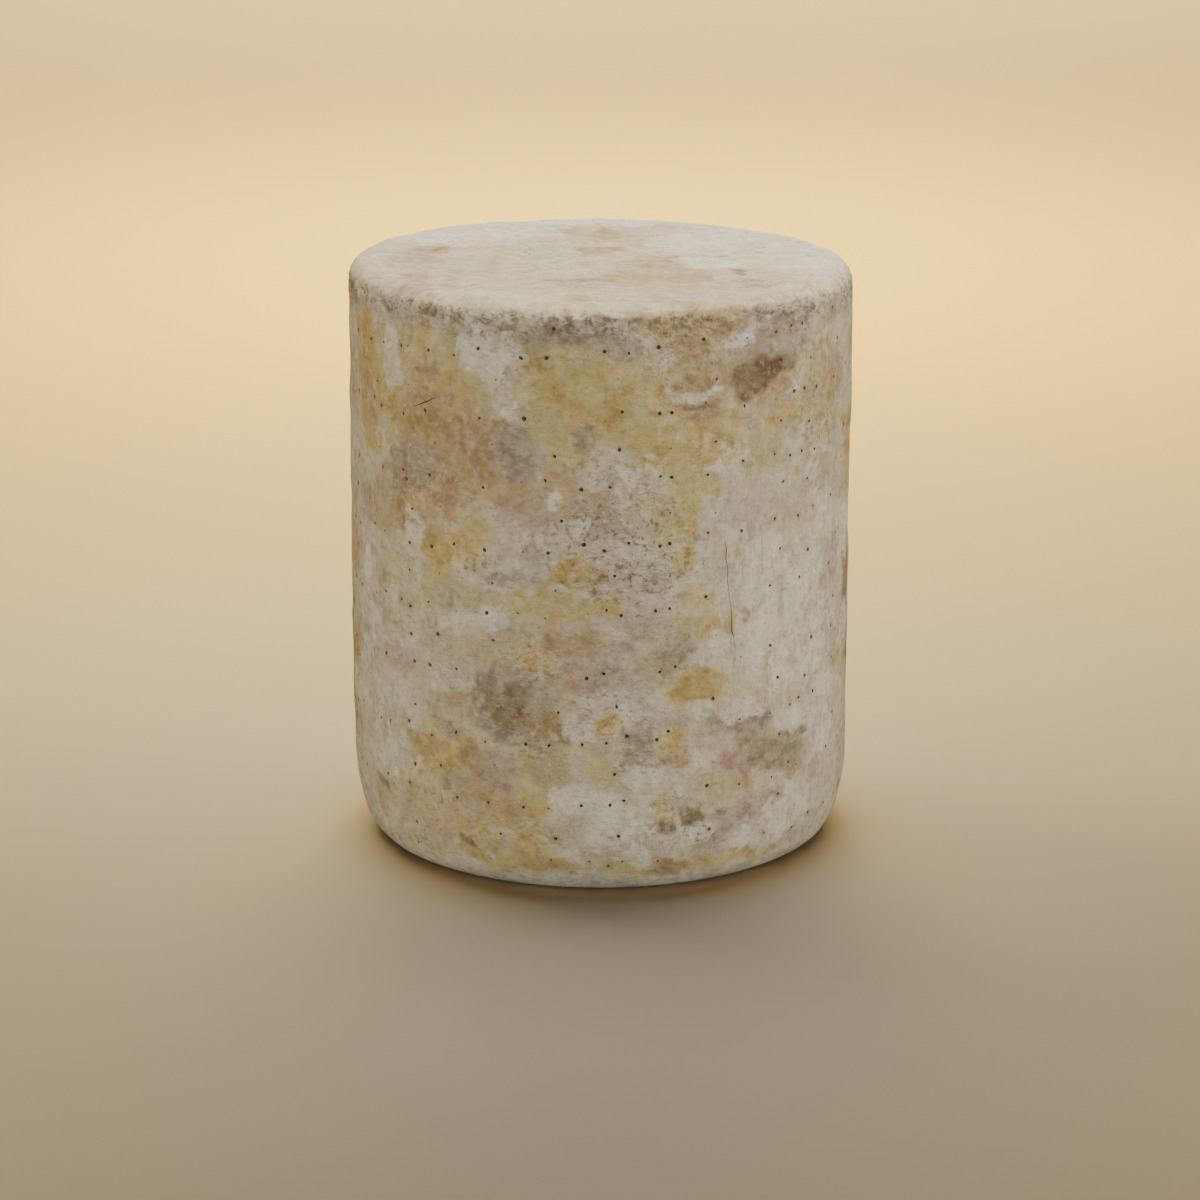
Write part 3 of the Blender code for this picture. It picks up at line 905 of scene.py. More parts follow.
# %% [markdown]
# ### Where rust and painted shade gather
#
# Brown rust gathers round the mouths of some needle holes, where air reaches. The hollows, between
# the crumbs of the band and elsewhere in the skin, get painted shade: brown that stands in for the
# shade that falls there. A shader could find hollows by itself with ambient occlusion, but that
# is slow and can't be baked everywhere. The mesh knows them already, because the same relief made
# it, so they are noted as attributes too.

# %% Note the band, the hollows for painted shade, and the hole mouths
HOLE_HALO = 3.2 * MM


def mouth_nearness():
    """1 at a hole's rim, fading to 0 a few millimetres away."""
    nearest = np.full(len(points), np.inf)
    for azimuth, height, mouth in holes:
        turn = azimuths - azimuth
        around = RADIUS * (turn - math.tau * np.round(turn / math.tau))
        nearest = np.minimum(nearest, np.hypot(around, points[:, 2] - height) - mouth)
    return np.clip(1 - nearest / HOLE_HALO, 0, 1)


RIM_START = 2.2 * MM
RIM_FULL = 4.5 * MM
RIM_END = 15 * MM


def rim_nearness():
    """1 just under the drum's top edge, fading to 0 at the top and further down."""
    below_top = HEIGHT - points[:, 2] - TOP_LEAN * points[:, 0] / RADIUS
    return np.interp(below_top, (RIM_START, RIM_FULL, RIM_END), (0, 1, 0)) * (radii > FLAT_TOP)


keep_on_mesh("halo", mouth_nearness() * sides)
bands = np.array([crumbly_band(Vector(point)) for point in points])
keep_on_mesh("band", bands * (radii > FLAT_TOP))
keep_on_mesh("rim", rim_nearness())
# The depth of each hollow sets how much painted shade it gets.
hollows = [-skin_relief(Vector(point)) - SKIN_INSET for point in points]
keep_on_mesh("hollow_shade", np.clip(np.array(hollows) / MM, 0, 1))
print("hole rims and hollows noted")

# %% [markdown]
# ## Shader helpers
#
# A shader is a graph of nodes, and wiring it in code gets long. These helpers add a node, set or
# wire its inputs by name, and hand back the output that is wanted.

# %% Wire nodes with little code
def add_node(tree, kind, settings=None, **inputs):
    """Add a node, then set or wire its inputs by name."""
    node = tree.nodes.new(kind)
    for name, value in (settings or {}).items():
        setattr(node, name, value)
    for name, value in inputs.items():
        connect(tree, node.inputs[name.replace("_", " ")], value)
    return node


def connect(tree, socket, value):
    """Wire an output to a socket, or give the socket a fixed value."""
    if isinstance(value, bpy.types.NodeSocket):
        tree.links.new(value, socket)
    else:
        socket.default_value = value


def calculate(tree, operation, *numbers):
    """A Math node."""
    node = tree.nodes.new("ShaderNodeMath")
    node.operation = operation
    for socket, number in zip(node.inputs, numbers):
        connect(tree, socket, number)
    return node.outputs[0]


def times(tree, one, other):
    """One number times another."""
    return calculate(tree, "MULTIPLY", one, other)


def scaled(tree, value, gain, start):
    """A value times a gain, on top of a start."""
    return calculate(tree, "MULTIPLY_ADD", value, gain, start)


def between(tree, value, low, high):
    """Rise smoothly from 0 to 1 as a value goes from low to high."""
    settings = {"interpolation_type": "SMOOTHSTEP"}
    node = add_node(tree, "ShaderNodeMapRange", settings, Value=value, From_Min=low, From_Max=high)
    return node.outputs["Result"]


# a Mix node lists its sockets for numbers and vectors before those for colours
MIX_INPUTS = (0, 6, 7)
MIX_OUTPUT = 2


def blend_color(tree, share, under, over):
    """Lay one colour over another."""
    node = tree.nodes.new("ShaderNodeMix")
    node.data_type = "RGBA"
    for index, value in zip(MIX_INPUTS, (share, under, over)):
        connect(tree, node.inputs[index], value)
    return node.outputs[MIX_OUTPUT]


def attribute(tree, name):
    """A number that the mesh's vertices carry."""
    return add_node(tree, "ShaderNodeAttribute", {"attribute_name": name}).outputs["Fac"]


def object_place(tree, stretch=None):
    """The place on the object, or that place stretched along x, y and z."""
    place = tree.nodes.new("ShaderNodeTexCoord").outputs["Object"]
    if stretch is None:
        return place
    node = add_node(tree, "ShaderNodeVectorMath", {"operation": "MULTIPLY"})
    tree.links.new(place, node.inputs[0])
    node.inputs[1].default_value = stretch
    return node.outputs["Vector"]


def noise_node(tree, scale, detail, roughness, vector, seed, distortion):
    """A noise texture in four dimensions: place, and a seed that picks the pattern."""
    inputs = {"Vector": vector, "W": seed, "Scale": scale, "Detail": detail}
    inputs |= {"Roughness": roughness, "Distortion": distortion}
    return add_node(tree, "ShaderNodeTexNoise", {"noise_dimensions": "4D"}, **inputs)


def noise_value(tree, size, detail=4.0, roughness=0.6, vector=None, seed=0.0, distortion=0.0):
    """Soft noise whose features are about size metres wide."""
    vector = vector or object_place(tree)
    scale = size if isinstance(size, bpy.types.NodeSocket) else 1 / size
    return noise_node(tree, scale, detail, roughness, vector, seed, distortion).outputs["Fac"]


# %% [markdown]
# ## Shader groups
#
# Three effects come back all over the drum, so each is a node group with its own inputs.
#
# * *Ragged stain* turns a soft attribute into a stain with a frayed edge. It gives a mask, and a
#   core where the stain is thickest.
# * *Chalky grain* is the dusty mottling and the fine bumps of dry rind. It gives a mottle from 0
#   to 1, and a height.
# * *Patchwork* gives flat patches with crooked edges, each with two random numbers of its own,
#   because mould grows in small colonies that meet edge to edge.

# %% Build the ragged stain
FRAY_NOISE = (4.0, 0.58)
FRAY_TWIST = 0.8
FRAY_MIDDLE = 0.5
CALM_SIZE = 32 * MM
CALM_NOISE = (0.0, 0.5)
CALM_EDGE = (0.35, 0.62)
CALM_GAIN, CALM_START = 0.7, 0.45
SPOT_EDGE = (0.02, 0.2)
CLOUDS_PER_GRAIN = 1.6
CLOUD_NOISE = (2.0, 0.65)
CLOUD_SEED_STEP = 50.0
CLOUD_EDGE = (0.3, 0.6)
CLOUD_GAIN, CLOUD_START = 0.25, 0.78
MASK_EDGE = (0.1, 0.6)
CORE_CLOUDS = 0.5
CORE_EDGE = (0.75, 1.45)


def new_group(name, inputs, outputs):
    """An empty shader group with number sockets, and its input and output nodes."""
    group = bpy.data.node_groups.new(name, "ShaderNodeTree")
    for label, value in inputs.items():
        socket = group.interface.new_socket(label, in_out="INPUT", socket_type="NodeSocketFloat")
        socket.default_value = value
    for label in outputs:
        group.interface.new_socket(label, in_out="OUTPUT", socket_type="NodeSocketFloat")
    return group, group.nodes.new("NodeGroupInput").outputs, group.nodes.new("NodeGroupOutput").inputs


def build_ragged_stain():
    """Strength in, frayed mask and core out."""
    starts = {"Strength": 0.0, "Grains Per Metre": 120.0, "Fray": 1.6, "Seed": 0.0}
    group, given, result = new_group("ragged stain", starts, ["Mask", "Core"])
    grains, seed = given["Grains Per Metre"], given["Seed"]
    fraying = noise_value(group, grains, *FRAY_NOISE, seed=seed, distortion=FRAY_TWIST)
    calm = between(group, noise_value(group, CALM_SIZE, *CALM_NOISE, seed=seed), *CALM_EDGE)
    torn = times(group, given["Fray"], scaled(group, calm, CALM_GAIN, CALM_START))
    fray = times(group, calculate(group, "SUBTRACT", fraying, FRAY_MIDDLE), torn)
    reach = calculate(group, "ADD", given["Strength"], fray)
    present = between(group, given["Strength"], *SPOT_EDGE)
    cloud_seed = calculate(group, "ADD", seed, CLOUD_SEED_STEP)
    cloud_scale = times(group, grains, CLOUDS_PER_GRAIN)
    cloudy = noise_value(group, cloud_scale, *CLOUD_NOISE, seed=cloud_seed)
    clouds = between(group, cloudy, *CLOUD_EDGE)
    mask = times(group, between(group, reach, *MASK_EDGE), present)
    thickness = scaled(group, clouds, CLOUD_GAIN, CLOUD_START)
    group.links.new(times(group, mask, thickness), result["Mask"])
    core = scaled(group, clouds, CORE_CLOUDS, reach)
    group.links.new(between(group, core, *CORE_EDGE), result["Core"])
    return group


ragged_stain = build_ragged_stain()
print("nodes in the ragged stain:", len(ragged_stain.nodes))

# %% [markdown]
# ### Chalky grain
#
# Dry rind is dusty: fine pale mottling that one sees and fine bumps that one feels. One noise
# texture could serve for both, but a second, finer one on top keeps the bumps crisp close up.

# %% Build the chalky grain
GRAIN_NOISE = (5.0, 0.65)
GRAIN_EDGE = (0.3, 0.7)
FINE_PER_GRAIN = 3.1
FINE_NOISE = (1.0, 0.6)
FINE_SHARE = 0.4


def build_chalky_grain():
    """Mottling from 0 to 1, and a height for bumps."""
    starts = {"Grains Per Metre": 500.0, "Seed": 0.0}
    group, given, result = new_group("chalky grain", starts, ["Mottle", "Height"])
    grains = noise_value(group, given["Grains Per Metre"], *GRAIN_NOISE, seed=given["Seed"])
    fine_scale = times(group, given["Grains Per Metre"], FINE_PER_GRAIN)
    fine = noise_value(group, fine_scale, *FINE_NOISE, seed=given["Seed"])
    group.links.new(between(group, grains, *GRAIN_EDGE), result["Mottle"])
    height = calculate(group, "ADD", grains, times(group, fine, FINE_SHARE))
    group.links.new(height, result["Height"])
    return group


chalky_grain = build_chalky_grain()
print("nodes in the chalky grain:", len(chalky_grain.nodes))

# %% [markdown]
# ### Patchwork
#
# Small colonies meet edge to edge, each a little different from its neighbours. A Voronoi
# pattern gives each cell a random colour of its own, but its edges are straight. So the place is
# bent by noise before the pattern is looked up, and the edges come out crooked.

# %% Build the patchwork
BEND_NOISE = (3.0, 0.7)
NOISE_MIDDLE = (0.5, 0.5, 0.5)


def build_patchwork():
    """Two random numbers for each crooked patch."""
    starts = {"Patches Per Metre": 120.0, "Crook": 0.006, "Seed": 0.0}
    group, given, result = new_group("patchwork", starts, ["First", "Second"])
    place = object_place(group)
    bends = noise_node(group, given["Patches Per Metre"], *BEND_NOISE, place, given["Seed"], 0.0)
    centred = add_node(group, "ShaderNodeVectorMath", {"operation": "SUBTRACT"})
    group.links.new(bends.outputs["Color"], centred.inputs[0])
    centred.inputs[1].default_value = NOISE_MIDDLE
    bend = add_node(group, "ShaderNodeVectorMath", {"operation": "SCALE"}, Scale=given["Crook"])
    group.links.new(centred.outputs["Vector"], bend.inputs[0])
    moved = add_node(group, "ShaderNodeVectorMath", {"operation": "ADD"})
    group.links.new(place, moved.inputs[0])
    group.links.new(bend.outputs["Vector"], moved.inputs[1])
    settings = {"voronoi_dimensions": "4D"}
    inputs = {"Vector": moved.outputs["Vector"], "W": given["Seed"]}
    inputs |= {"Scale": given["Patches Per Metre"]}
    cells = add_node(group, "ShaderNodeTexVoronoi", settings, **inputs)
    parts = add_node(group, "ShaderNodeSeparateColor", Color=cells.outputs["Color"])
    group.links.new(parts.outputs["Red"], result["First"])
    group.links.new(parts.outputs["Green"], result["Second"])
    return group


patchwork = build_patchwork()
print("shader groups:", [group.name for group in bpy.data.node_groups])

# %% [markdown]
# ## The rind's finish
#
# The skin is built up as it grows: dry curd, stains, white bloom, specks and scratches, and the
# brown of the crumbly band. The colours were chosen against the photograph. Crusts tend
# to come out too red and yellows too green, so every colour is a dull one, and a stain has three:
# thin at its edge, thick in its core, and a neighbouring hue that it turns to in places.

# %% Choose the colours
CREAM = (0.67, 0.56, 0.355, 1)
CHALK = (0.71, 0.64, 0.475, 1)
LAVENDER = (0.60, 0.475, 0.385, 1)
GREENISH = (0.58, 0.555, 0.335, 1)
MINT = (0.63, 0.615, 0.465, 1)
DUST = (0.80, 0.745, 0.62, 1)
SCRATCH = (0.27, 0.20, 0.14, 1)
BRUSH_TAN = (0.47, 0.36, 0.25, 1)
SPECK_BROWN = (0.22, 0.155, 0.09, 1)
SPECK_PALE = (0.77, 0.68, 0.50, 1)
RUST = (0.28, 0.16, 0.085, 1)
# the brown of the band's crumbs, also used as painted shade in the hollows
BAND_BROWN_AND_SHADE = (0.19, 0.145, 0.105, 1)
BAND_VEIL = (0.38, 0.31, 0.215, 1)
# painted shade deep inside the holes and cracks
PAINTED_HOLE_SHADE = (0.26, 0.185, 0.095, 1)

# name: (thin colour, thick colour, colour that it turns to, grain size, fray, opacity)
STAIN_FINISHES = {
    "beige": ((0.56, 0.45, 0.265), (0.46, 0.36, 0.205), (0.55, 0.475, 0.27), 12 * MM, 1.7, 0.85),
    "mint": ((0.60, 0.575, 0.41), (0.55, 0.53, 0.36), (0.62, 0.55, 0.40), 10 * MM, 1.7, 0.75),
    "lilac": ((0.60, 0.48, 0.375), (0.53, 0.415, 0.32), (0.60, 0.50, 0.35), 10 * MM, 1.7, 0.8),
    "olive": ((0.50, 0.45, 0.20), (0.37, 0.335, 0.13), (0.50, 0.44, 0.25), 7 * MM, 2.0, 0.85),
    "gold": ((0.61, 0.455, 0.175), (0.46, 0.315, 0.10), (0.54, 0.46, 0.18), 9 * MM, 2.3, 0.95),
    "tan": ((0.49, 0.345, 0.18), (0.34, 0.215, 0.105), (0.50, 0.38, 0.17), 7 * MM, 1.8, 0.9),
    "rose": ((0.52, 0.38, 0.28), (0.38, 0.215, 0.165), (0.47, 0.35, 0.24), 5 * MM, 2.0, 0.85),
    "mauve": ((0.42, 0.325, 0.235), (0.26, 0.20, 0.14), (0.43, 0.365, 0.24), 6 * MM, 1.9, 0.9),
    "umber": ((0.32, 0.225, 0.13), (0.14, 0.09, 0.05), (0.26, 0.195, 0.115), 6 * MM, 1.7, 0.95),
}


def use_group(tree, group, **inputs):
    """Place a group in a material with its own values."""
    return add_node(tree, "ShaderNodeGroup", {"node_tree": group}, **inputs)


def stain_masks(tree, kind, size, fray, seed):
    """The mask and the core of one kind of stain."""
    inputs = {"Strength": attribute(tree, kind), "Grains Per Metre": 1 / size}
    node = use_group(tree, ragged_stain, **inputs, Fray=fray, Seed=seed)
    return node.outputs["Mask"], node.outputs["Core"]


print("kinds of stain:", len(STAIN_FINISHES))

# %% [markdown]
# ### The dry curd
#
# Between the stains the rind is never one white. It drifts from cream to chalk, with faint rosy
# and greenish colonies. One colour ramp over noise would tie those hues to each other, so each
# is a layer of its own, and the patchwork nudges where it begins.

# %% Build the dry curd under the stains
CURD_NOISE = (5.0, 0.62)
CURD_TWIST = 0.5
CURD_NUDGE = 0.16
CURD_EDGE = 0.12
DRIFT_SIZE = 24 * MM
DRIFT_EDGE = (0.36, 0.64)
BIG_PATCHES = {"Patches Per Metre": 110.0, "Crook": 9 * MM, "Seed": 2.0}
SMALL_PATCHES = {"Patches Per Metre": 260.0, "Crook": 5 * MM, "Seed": 4.0}
# (colour, share, size, seed, level of the noise where it starts)
CURD_LAYERS = [
    (LAVENDER, 0.8, 15 * MM, 2.0, 0.58),
    (GREENISH, 0.7, 17 * MM, 3.0, 0.60),
    (MINT, 0.6, 11 * MM, 4.0, 0.60),
    (LAVENDER, 0.5, 7 * MM, 5.0, 0.62),
]


def curd_layer(tree, color, nudge, over, share, size, seed, start):
    """A faint colour where soft noise, nudged by the patchwork, is high."""
    soft = noise_value(tree, size, *CURD_NOISE, seed=seed, distortion=CURD_TWIST)
    nudged = scaled(tree, nudge, CURD_NUDGE, soft)
    mask = between(tree, nudged, start, start + CURD_EDGE)
    return blend_color(tree, times(tree, mask, share), color, over)


def curd_color(tree):
    """Cream and chalk with faint colonies of other colours."""
    groups = [use_group(tree, patchwork, **patches) for patches in (BIG_PATCHES, SMALL_PATCHES)]
    nudges = [node.outputs[name] for node in groups for name in ("First", "Second")]
    drift = between(tree, noise_value(tree, DRIFT_SIZE, *CURD_NOISE, seed=1.0), *DRIFT_EDGE)
    color = blend_color(tree, drift, CREAM, CHALK)
    for nudge, layer in zip(nudges, CURD_LAYERS):
        color = curd_layer(tree, color, nudge, *layer)
    return color


print("curd layers:", len(CURD_LAYERS))

# %% [markdown]
# ### The stains
#
# Each kind of stain lies over the one before, pale kinds first. A stain could be one flat colour
# behind its mask, but a real one is thick in the middle and thin at the edge, and it changes hue
# with age. The last change is shared by all kinds, because damp spots age every stain in them.

# %% Lay the stains over it
TURNING_SIZE = 10 * MM
TURNING_NOISE = (4.0, 0.55)
TURNING_TWIST = 0.8
TURNING_EDGE = (0.46, 0.58)
TURNED_SHARE = 0.65
FIRST_STAIN_SEED = 10


def stained_color(tree, color):
    """Every kind of stain over the curd."""
    turning = noise_value(tree, TURNING_SIZE, *TURNING_NOISE, seed=9.0, distortion=TURNING_TWIST)
    turned_share = times(tree, between(tree, turning, *TURNING_EDGE), TURNED_SHARE)
    for seed, (kind, finish) in enumerate(STAIN_FINISHES.items(), start=FIRST_STAIN_SEED):
        thin, thick, turned = ((*part, 1) for part in finish[:3])
        size, fray, opacity = finish[3:]
        mask, core = stain_masks(tree, kind, size, fray, float(seed))
        paint = blend_color(tree, turned_share, blend_color(tree, core, thin, thick), turned)
        color = blend_color(tree, times(tree, mask, opacity), color, paint)
    return color


print("stain layers:", list(STAIN_FINISHES))

# %% [markdown]
# ### Specks, scratches and brush marks
#
# Cloth, brushes and boards mark the rind: brown grit, level scratches from turning, and upright
# strokes where it was brushed down. Each could be its own texture. But grit and strokes are the
# same thing, noise with its high parts dark and its low parts pale, and only the stretch of the
# noise differs, so one function lays them all.

# %% Speckle, scratch and brush it
GRIT_PATTERN = (2.6 * MM, 3.0, 0.6)
GRIT_EDGES = ((0.54, 0.63), (0.45, 0.35))
GRIT_GAIN, GRIT_START = 0.6, 0.26
GRIT_PALE = 0.6
STROKE_NOISE = (4.0, 0.62)
STROKE_TWIST = 0.4
STROKE_EDGES = ((0.54, 0.67), (0.44, 0.32))
STROKE_PALE = 0.5
LEVEL_GAIN, LEVEL_START = 0.28, 0.38
LESS_WHERE_BRUSHED = -0.7
# (stretch along x, y and z, size, seed)
LEVEL_STROKES = ((1, 1, 3.6), 4.2 * MM, 26.0)
BROAD_STROKES = ((1, 1, 0.2), 4.6 * MM, 30.0)
FINE_STROKES = ((1, 1, 0.16), 2.4 * MM, 29.0)
BROAD_AMOUNT = 0.5
FINE_AMOUNT = 0.42


def speckled(tree, color, pattern, edges, amount, shade, pale_share):
    """Dark colour where a pattern is high, and a pale one where it is low."""
    dark, pale = (times(tree, between(tree, pattern, *edge), amount) for edge in edges)
    color = blend_color(tree, dark, color, shade)
    return blend_color(tree, times(tree, pale, pale_share), color, SPECK_PALE)


def gritty_color(tree, color):
    """Brown and pale specks, thick in the gritty places and thin elsewhere."""
    specks = noise_value(tree, *GRIT_PATTERN, seed=21.0)
    amount = scaled(tree, attribute(tree, "grain"), GRIT_GAIN, GRIT_START)
    return speckled(tree, color, specks, GRIT_EDGES, amount, SPECK_BROWN, GRIT_PALE)


def stroked(tree, color, strokes, amount, shade=SCRATCH):
    """Fine dark and pale strokes that run along the axis with the smallest stretch."""
    stretch, size, seed = strokes
    place = object_place(tree, stretch)
    pattern = noise_value(tree, size, *STROKE_NOISE, place, seed, STROKE_TWIST)
    return speckled(tree, color, pattern, STROKE_EDGES, amount, shade, STROKE_PALE)


def scratched_color(tree, color):
    """Level scratches, most of them where the rind is mauve or gritty, and upright brush marks."""
    brushed = attribute(tree, "brushed")
    places = calculate(tree, "ADD", attribute(tree, "mauve"), attribute(tree, "grain"))
    level = scaled(tree, places, LEVEL_GAIN, LEVEL_START)
    level = times(tree, level, scaled(tree, brushed, LESS_WHERE_BRUSHED, 1.0))
    color = stroked(tree, color, LEVEL_STROKES, level)
    color = stroked(tree, color, BROAD_STROKES, times(tree, brushed, BROAD_AMOUNT), BRUSH_TAN)
    return stroked(tree, color, FINE_STROKES, times(tree, brushed, FINE_AMOUNT))


print(f"strokes are stretched {1 / FINE_STROKES[0][2]:.0f} times upwards at most")

# %% [markdown]
# ### The brown of the band, and painted shade in the hollows
#
# Under the top edge the rind breaks into crumbs, grey-brown in between and pale on top. A plain
# brown ring would look painted, so a thin veil comes first, in patches, and then the crumbs.
# The hollows take the same brown as painted shade, and a few hole mouths take a little rust.

# %% Brown the band, paint shade into the hollows, and stain the hole mouths
BAND_PATCHES = (7 * MM, 5.0, 0.65)
BAND_PATCH_EDGE = (0.42, 0.56)
VEIL_SHARE = 0.35
CRUMB_PATTERN = (3.0 * MM, 3.0, 0.55)
CRUMB_STRETCH = (1, 1, 1.3)
CRUMB_TWIST = 1.0
CRUMB_EDGES = ((0.52, 0.60), (0.48, 0.38))
CRUMB_GAIN, CRUMB_START = 0.35, 0.6
CRUMB_PALE = 0.4
HOLLOW_SHADE_SHARE = 0.7
HALO_PATCHES = (30 * MM, 1.0)
HALO_PATCH_EDGE = (0.42, 0.62)
HALO_POWER = 3.0
HALO_SHARE = 0.35


def banded_color(tree, color):
    """Dark and pale crumbs under the rim, painted shade in the hollows, and rust at the hole mouths."""
    rim = attribute(tree, "rim")
    patches = between(tree, noise_value(tree, *BAND_PATCHES, seed=23.0), *BAND_PATCH_EDGE)
    veil = times(tree, times(tree, rim, patches), VEIL_SHARE)
    color = blend_color(tree, veil, color, BAND_VEIL)
    place = object_place(tree, CRUMB_STRETCH)
    crumbs = noise_value(tree, *CRUMB_PATTERN, place, seed=28.0, distortion=CRUMB_TWIST)
    amount = times(tree, rim, scaled(tree, patches, CRUMB_GAIN, CRUMB_START))
    color = speckled(tree, color, crumbs, CRUMB_EDGES, amount, BAND_BROWN_AND_SHADE, CRUMB_PALE)
    # Painted shade: the hollows darken to brown.
    hollow_shade = times(tree, attribute(tree, "hollow_shade"), HOLLOW_SHADE_SHARE)
    color = blend_color(tree, hollow_shade, color, BAND_BROWN_AND_SHADE)
    patches = between(tree, noise_value(tree, *HALO_PATCHES, seed=24.0), *HALO_PATCH_EDGE)
    halo = calculate(tree, "POWER", attribute(tree, "halo"), HALO_POWER)
    stained = times(tree, times(tree, halo, patches), HALO_SHARE)
    return blend_color(tree, stained, color, RUST)


print(f"crumbs of about {CRUMB_PATTERN[0] / MM:.0f} mm")

# %% [markdown]
# ### White bloom
#
# Bloom is the newest growth, a dry white dust that lies over the stains and hides part of them.
# It could be one more kind of stain in the list, but it has a single colour and also dusts the
# whole drum thinly, so it has a function of its own.

# %% Dust it with bloom
BLOOM_SIZE = 6 * MM
BLOOM_FRAY = 2.3
BLOOM_SHARE = 0.75
FLECK_PATTERN = (5 * MM, 5.0, 0.65)
FLECK_EDGE = (0.56, 0.68)
FLECK_SHARE = 0.2


def bloomed_color(tree, color):
    """White bloom in its own places, and a dusting everywhere."""
    mask, _ = stain_masks(tree, "bloom", BLOOM_SIZE, BLOOM_FRAY, 31.0)
    color = blend_color(tree, times(tree, mask, BLOOM_SHARE), color, DUST)
    flecks = between(tree, noise_value(tree, *FLECK_PATTERN, seed=32.0), *FLECK_EDGE)
    return blend_color(tree, times(tree, flecks, FLECK_SHARE), color, DUST)


print(f"bloom covers at most {BLOOM_SHARE:.0%} of what lies under it")

# %% [markdown]
# ### The finest relief
#
# What is smaller than the mesh can hold, dust and pebbles of curd, is left to a Bump node. It
# changes only how light falls, which is enough for bumps that never show at the outline.

# %% Make the fine relief
PEBBLE_PATTERN = (3.2 * MM, 2.0, 0.5)
PEBBLE_GAIN, PEBBLE_START = 1.6, 0.5
BUMP_GRAIN = {"Grains Per Metre": 420.0, "Seed": 6.0}
BUMP_STRENGTH = 0.55
BUMP_HEIGHT = 1.1 * MM


def rind_bump(tree):
    """Chalky grain all over, and pebbles the size of a lentil where the rind is gritty."""
    fine = use_group(tree, chalky_grain, **BUMP_GRAIN)
    pebbles = noise_value(tree, *PEBBLE_PATTERN, seed=27.0)
    rough = calculate(tree, "ADD", attribute(tree, "grain"), attribute(tree, "band"))
    pebble_height = times(tree, pebbles, scaled(tree, rough, PEBBLE_GAIN, PEBBLE_START))
    height = calculate(tree, "ADD", fine.outputs["Height"], pebble_height)
    inputs = {"Height": height, "Strength": BUMP_STRENGTH, "Distance": BUMP_HEIGHT}
    return add_node(tree, "ShaderNodeBump", **inputs).outputs["Normal"]


print(f"bumps up to {BUMP_HEIGHT / MM:.1f} mm")

# %% [markdown]
# ### The whole skin and the walls of the holes
# The layers are laid in the order in which they grow. Then the mottling lightens and darkens all
# of them together, as dust does. The cut walls of the holes and cracks show the inside of the
# rind, brown near the skin, and further in they darken with painted shade, so that a hole reads
# as deep even where light reaches its wall.

# %% Put the rind's material together
FINE_GRAIN = {"Grains Per Metre": 260.0, "Seed": 5.0}
BROAD_GRAIN = {"Grains Per Metre": 90.0, "Seed": 8.0}
WALL_GRAIN = {"Grains Per Metre": 700.0, "Seed": 7.0}
DARKEST = 0.8
FINE_MOTTLE = 0.2
BROAD_MOTTLE = 0.16
RIND_ROUGHNESS = 0.88
RIND_SHEEN = 0.3
WALL_SHADE_FADE = 3 * MM
WALL_ROUGHNESS = 0.95


def finish_rind(material):
    """The whole skin."""
    material.use_nodes = True
    tree = material.node_tree
    shader = tree.nodes["Principled BSDF"]
    color = stained_color(tree, curd_color(tree))
    color = scratched_color(tree, gritty_color(tree, bloomed_color(tree, color)))
    color = banded_color(tree, color)
    chalk = use_group(tree, chalky_grain, **FINE_GRAIN)
    broad = use_group(tree, chalky_grain, **BROAD_GRAIN)
    light_share = scaled(tree, chalk.outputs["Mottle"], FINE_MOTTLE, DARKEST)
    light_share = scaled(tree, broad.outputs["Mottle"], BROAD_MOTTLE, light_share)
    tone = add_node(tree, "ShaderNodeHueSaturation", Value=light_share, Color=color)
    tree.links.new(tone.outputs["Color"], shader.inputs["Base Color"])
    shader.inputs["Roughness"].default_value = RIND_ROUGHNESS
    shader.inputs["Specular IOR Level"].default_value = RIND_SHEEN
    tree.links.new(rind_bump(tree), shader.inputs["Normal"])


def finish_hole(material):
    """Walls with rust near the skin and painted shade that darkens them as they go in."""
    material.use_nodes = True
    tree = material.node_tree
    shader = tree.nodes["Principled BSDF"]
    reach = add_node(tree, "ShaderNodeVectorMath", {"operation": "LENGTH"})
    tree.links.new(object_place(tree, (1, 1, 0)), reach.inputs[0])
    # Painted shade: further in than this, the walls turn to the dark colour.
    near_skin = between(tree, reach.outputs["Value"], RADIUS - WALL_SHADE_FADE, RADIUS)
    chalk = use_group(tree, chalky_grain, **WALL_GRAIN)
    share = times(tree, near_skin, chalk.outputs["Mottle"])
    color = blend_color(tree, share, PAINTED_HOLE_SHADE, RUST)
    tree.links.new(color, shader.inputs["Base Color"])
    shader.inputs["Roughness"].default_value = WALL_ROUGHNESS


finish_rind(rind_finish)
finish_hole(hole_finish)
print("nodes in the rind's material:", len(rind_finish.node_tree.nodes))

# %% [markdown]
# ## Floor, light and camera
#
# The drum stands on a plain pale floor of matt board. It could be a curved backdrop, but a wide
# flat circle looks the same from every side. Light that bounces off it would tint the rind
# orange, so the rind's rays are told not to see it.

# %% Lay the floor
FLOOR_COLOR = (0.84, 0.64, 0.44, 1)
FLOOR_SIDES = 96
FLOOR_RADIUS = 14
FLOOR_DRIFT = 900 * MM
FLOOR_NOISE = (2.0, 0.5)
FLOOR_EDGE = (0.3, 0.7)
FLOOR_SHADE = 0.97
FLOOR_ROUGHNESS = 0.9

floor_mesh = bpy.data.meshes.new("floor")
shape = bmesh.new()
bmesh.ops.create_circle(shape, cap_ends=True, segments=FLOOR_SIDES, radius=FLOOR_RADIUS)
shape.to_mesh(floor_mesh)
shape.free()
floor = bpy.data.objects.new("floor", floor_mesh)
bpy.context.scene.collection.objects.link(floor)


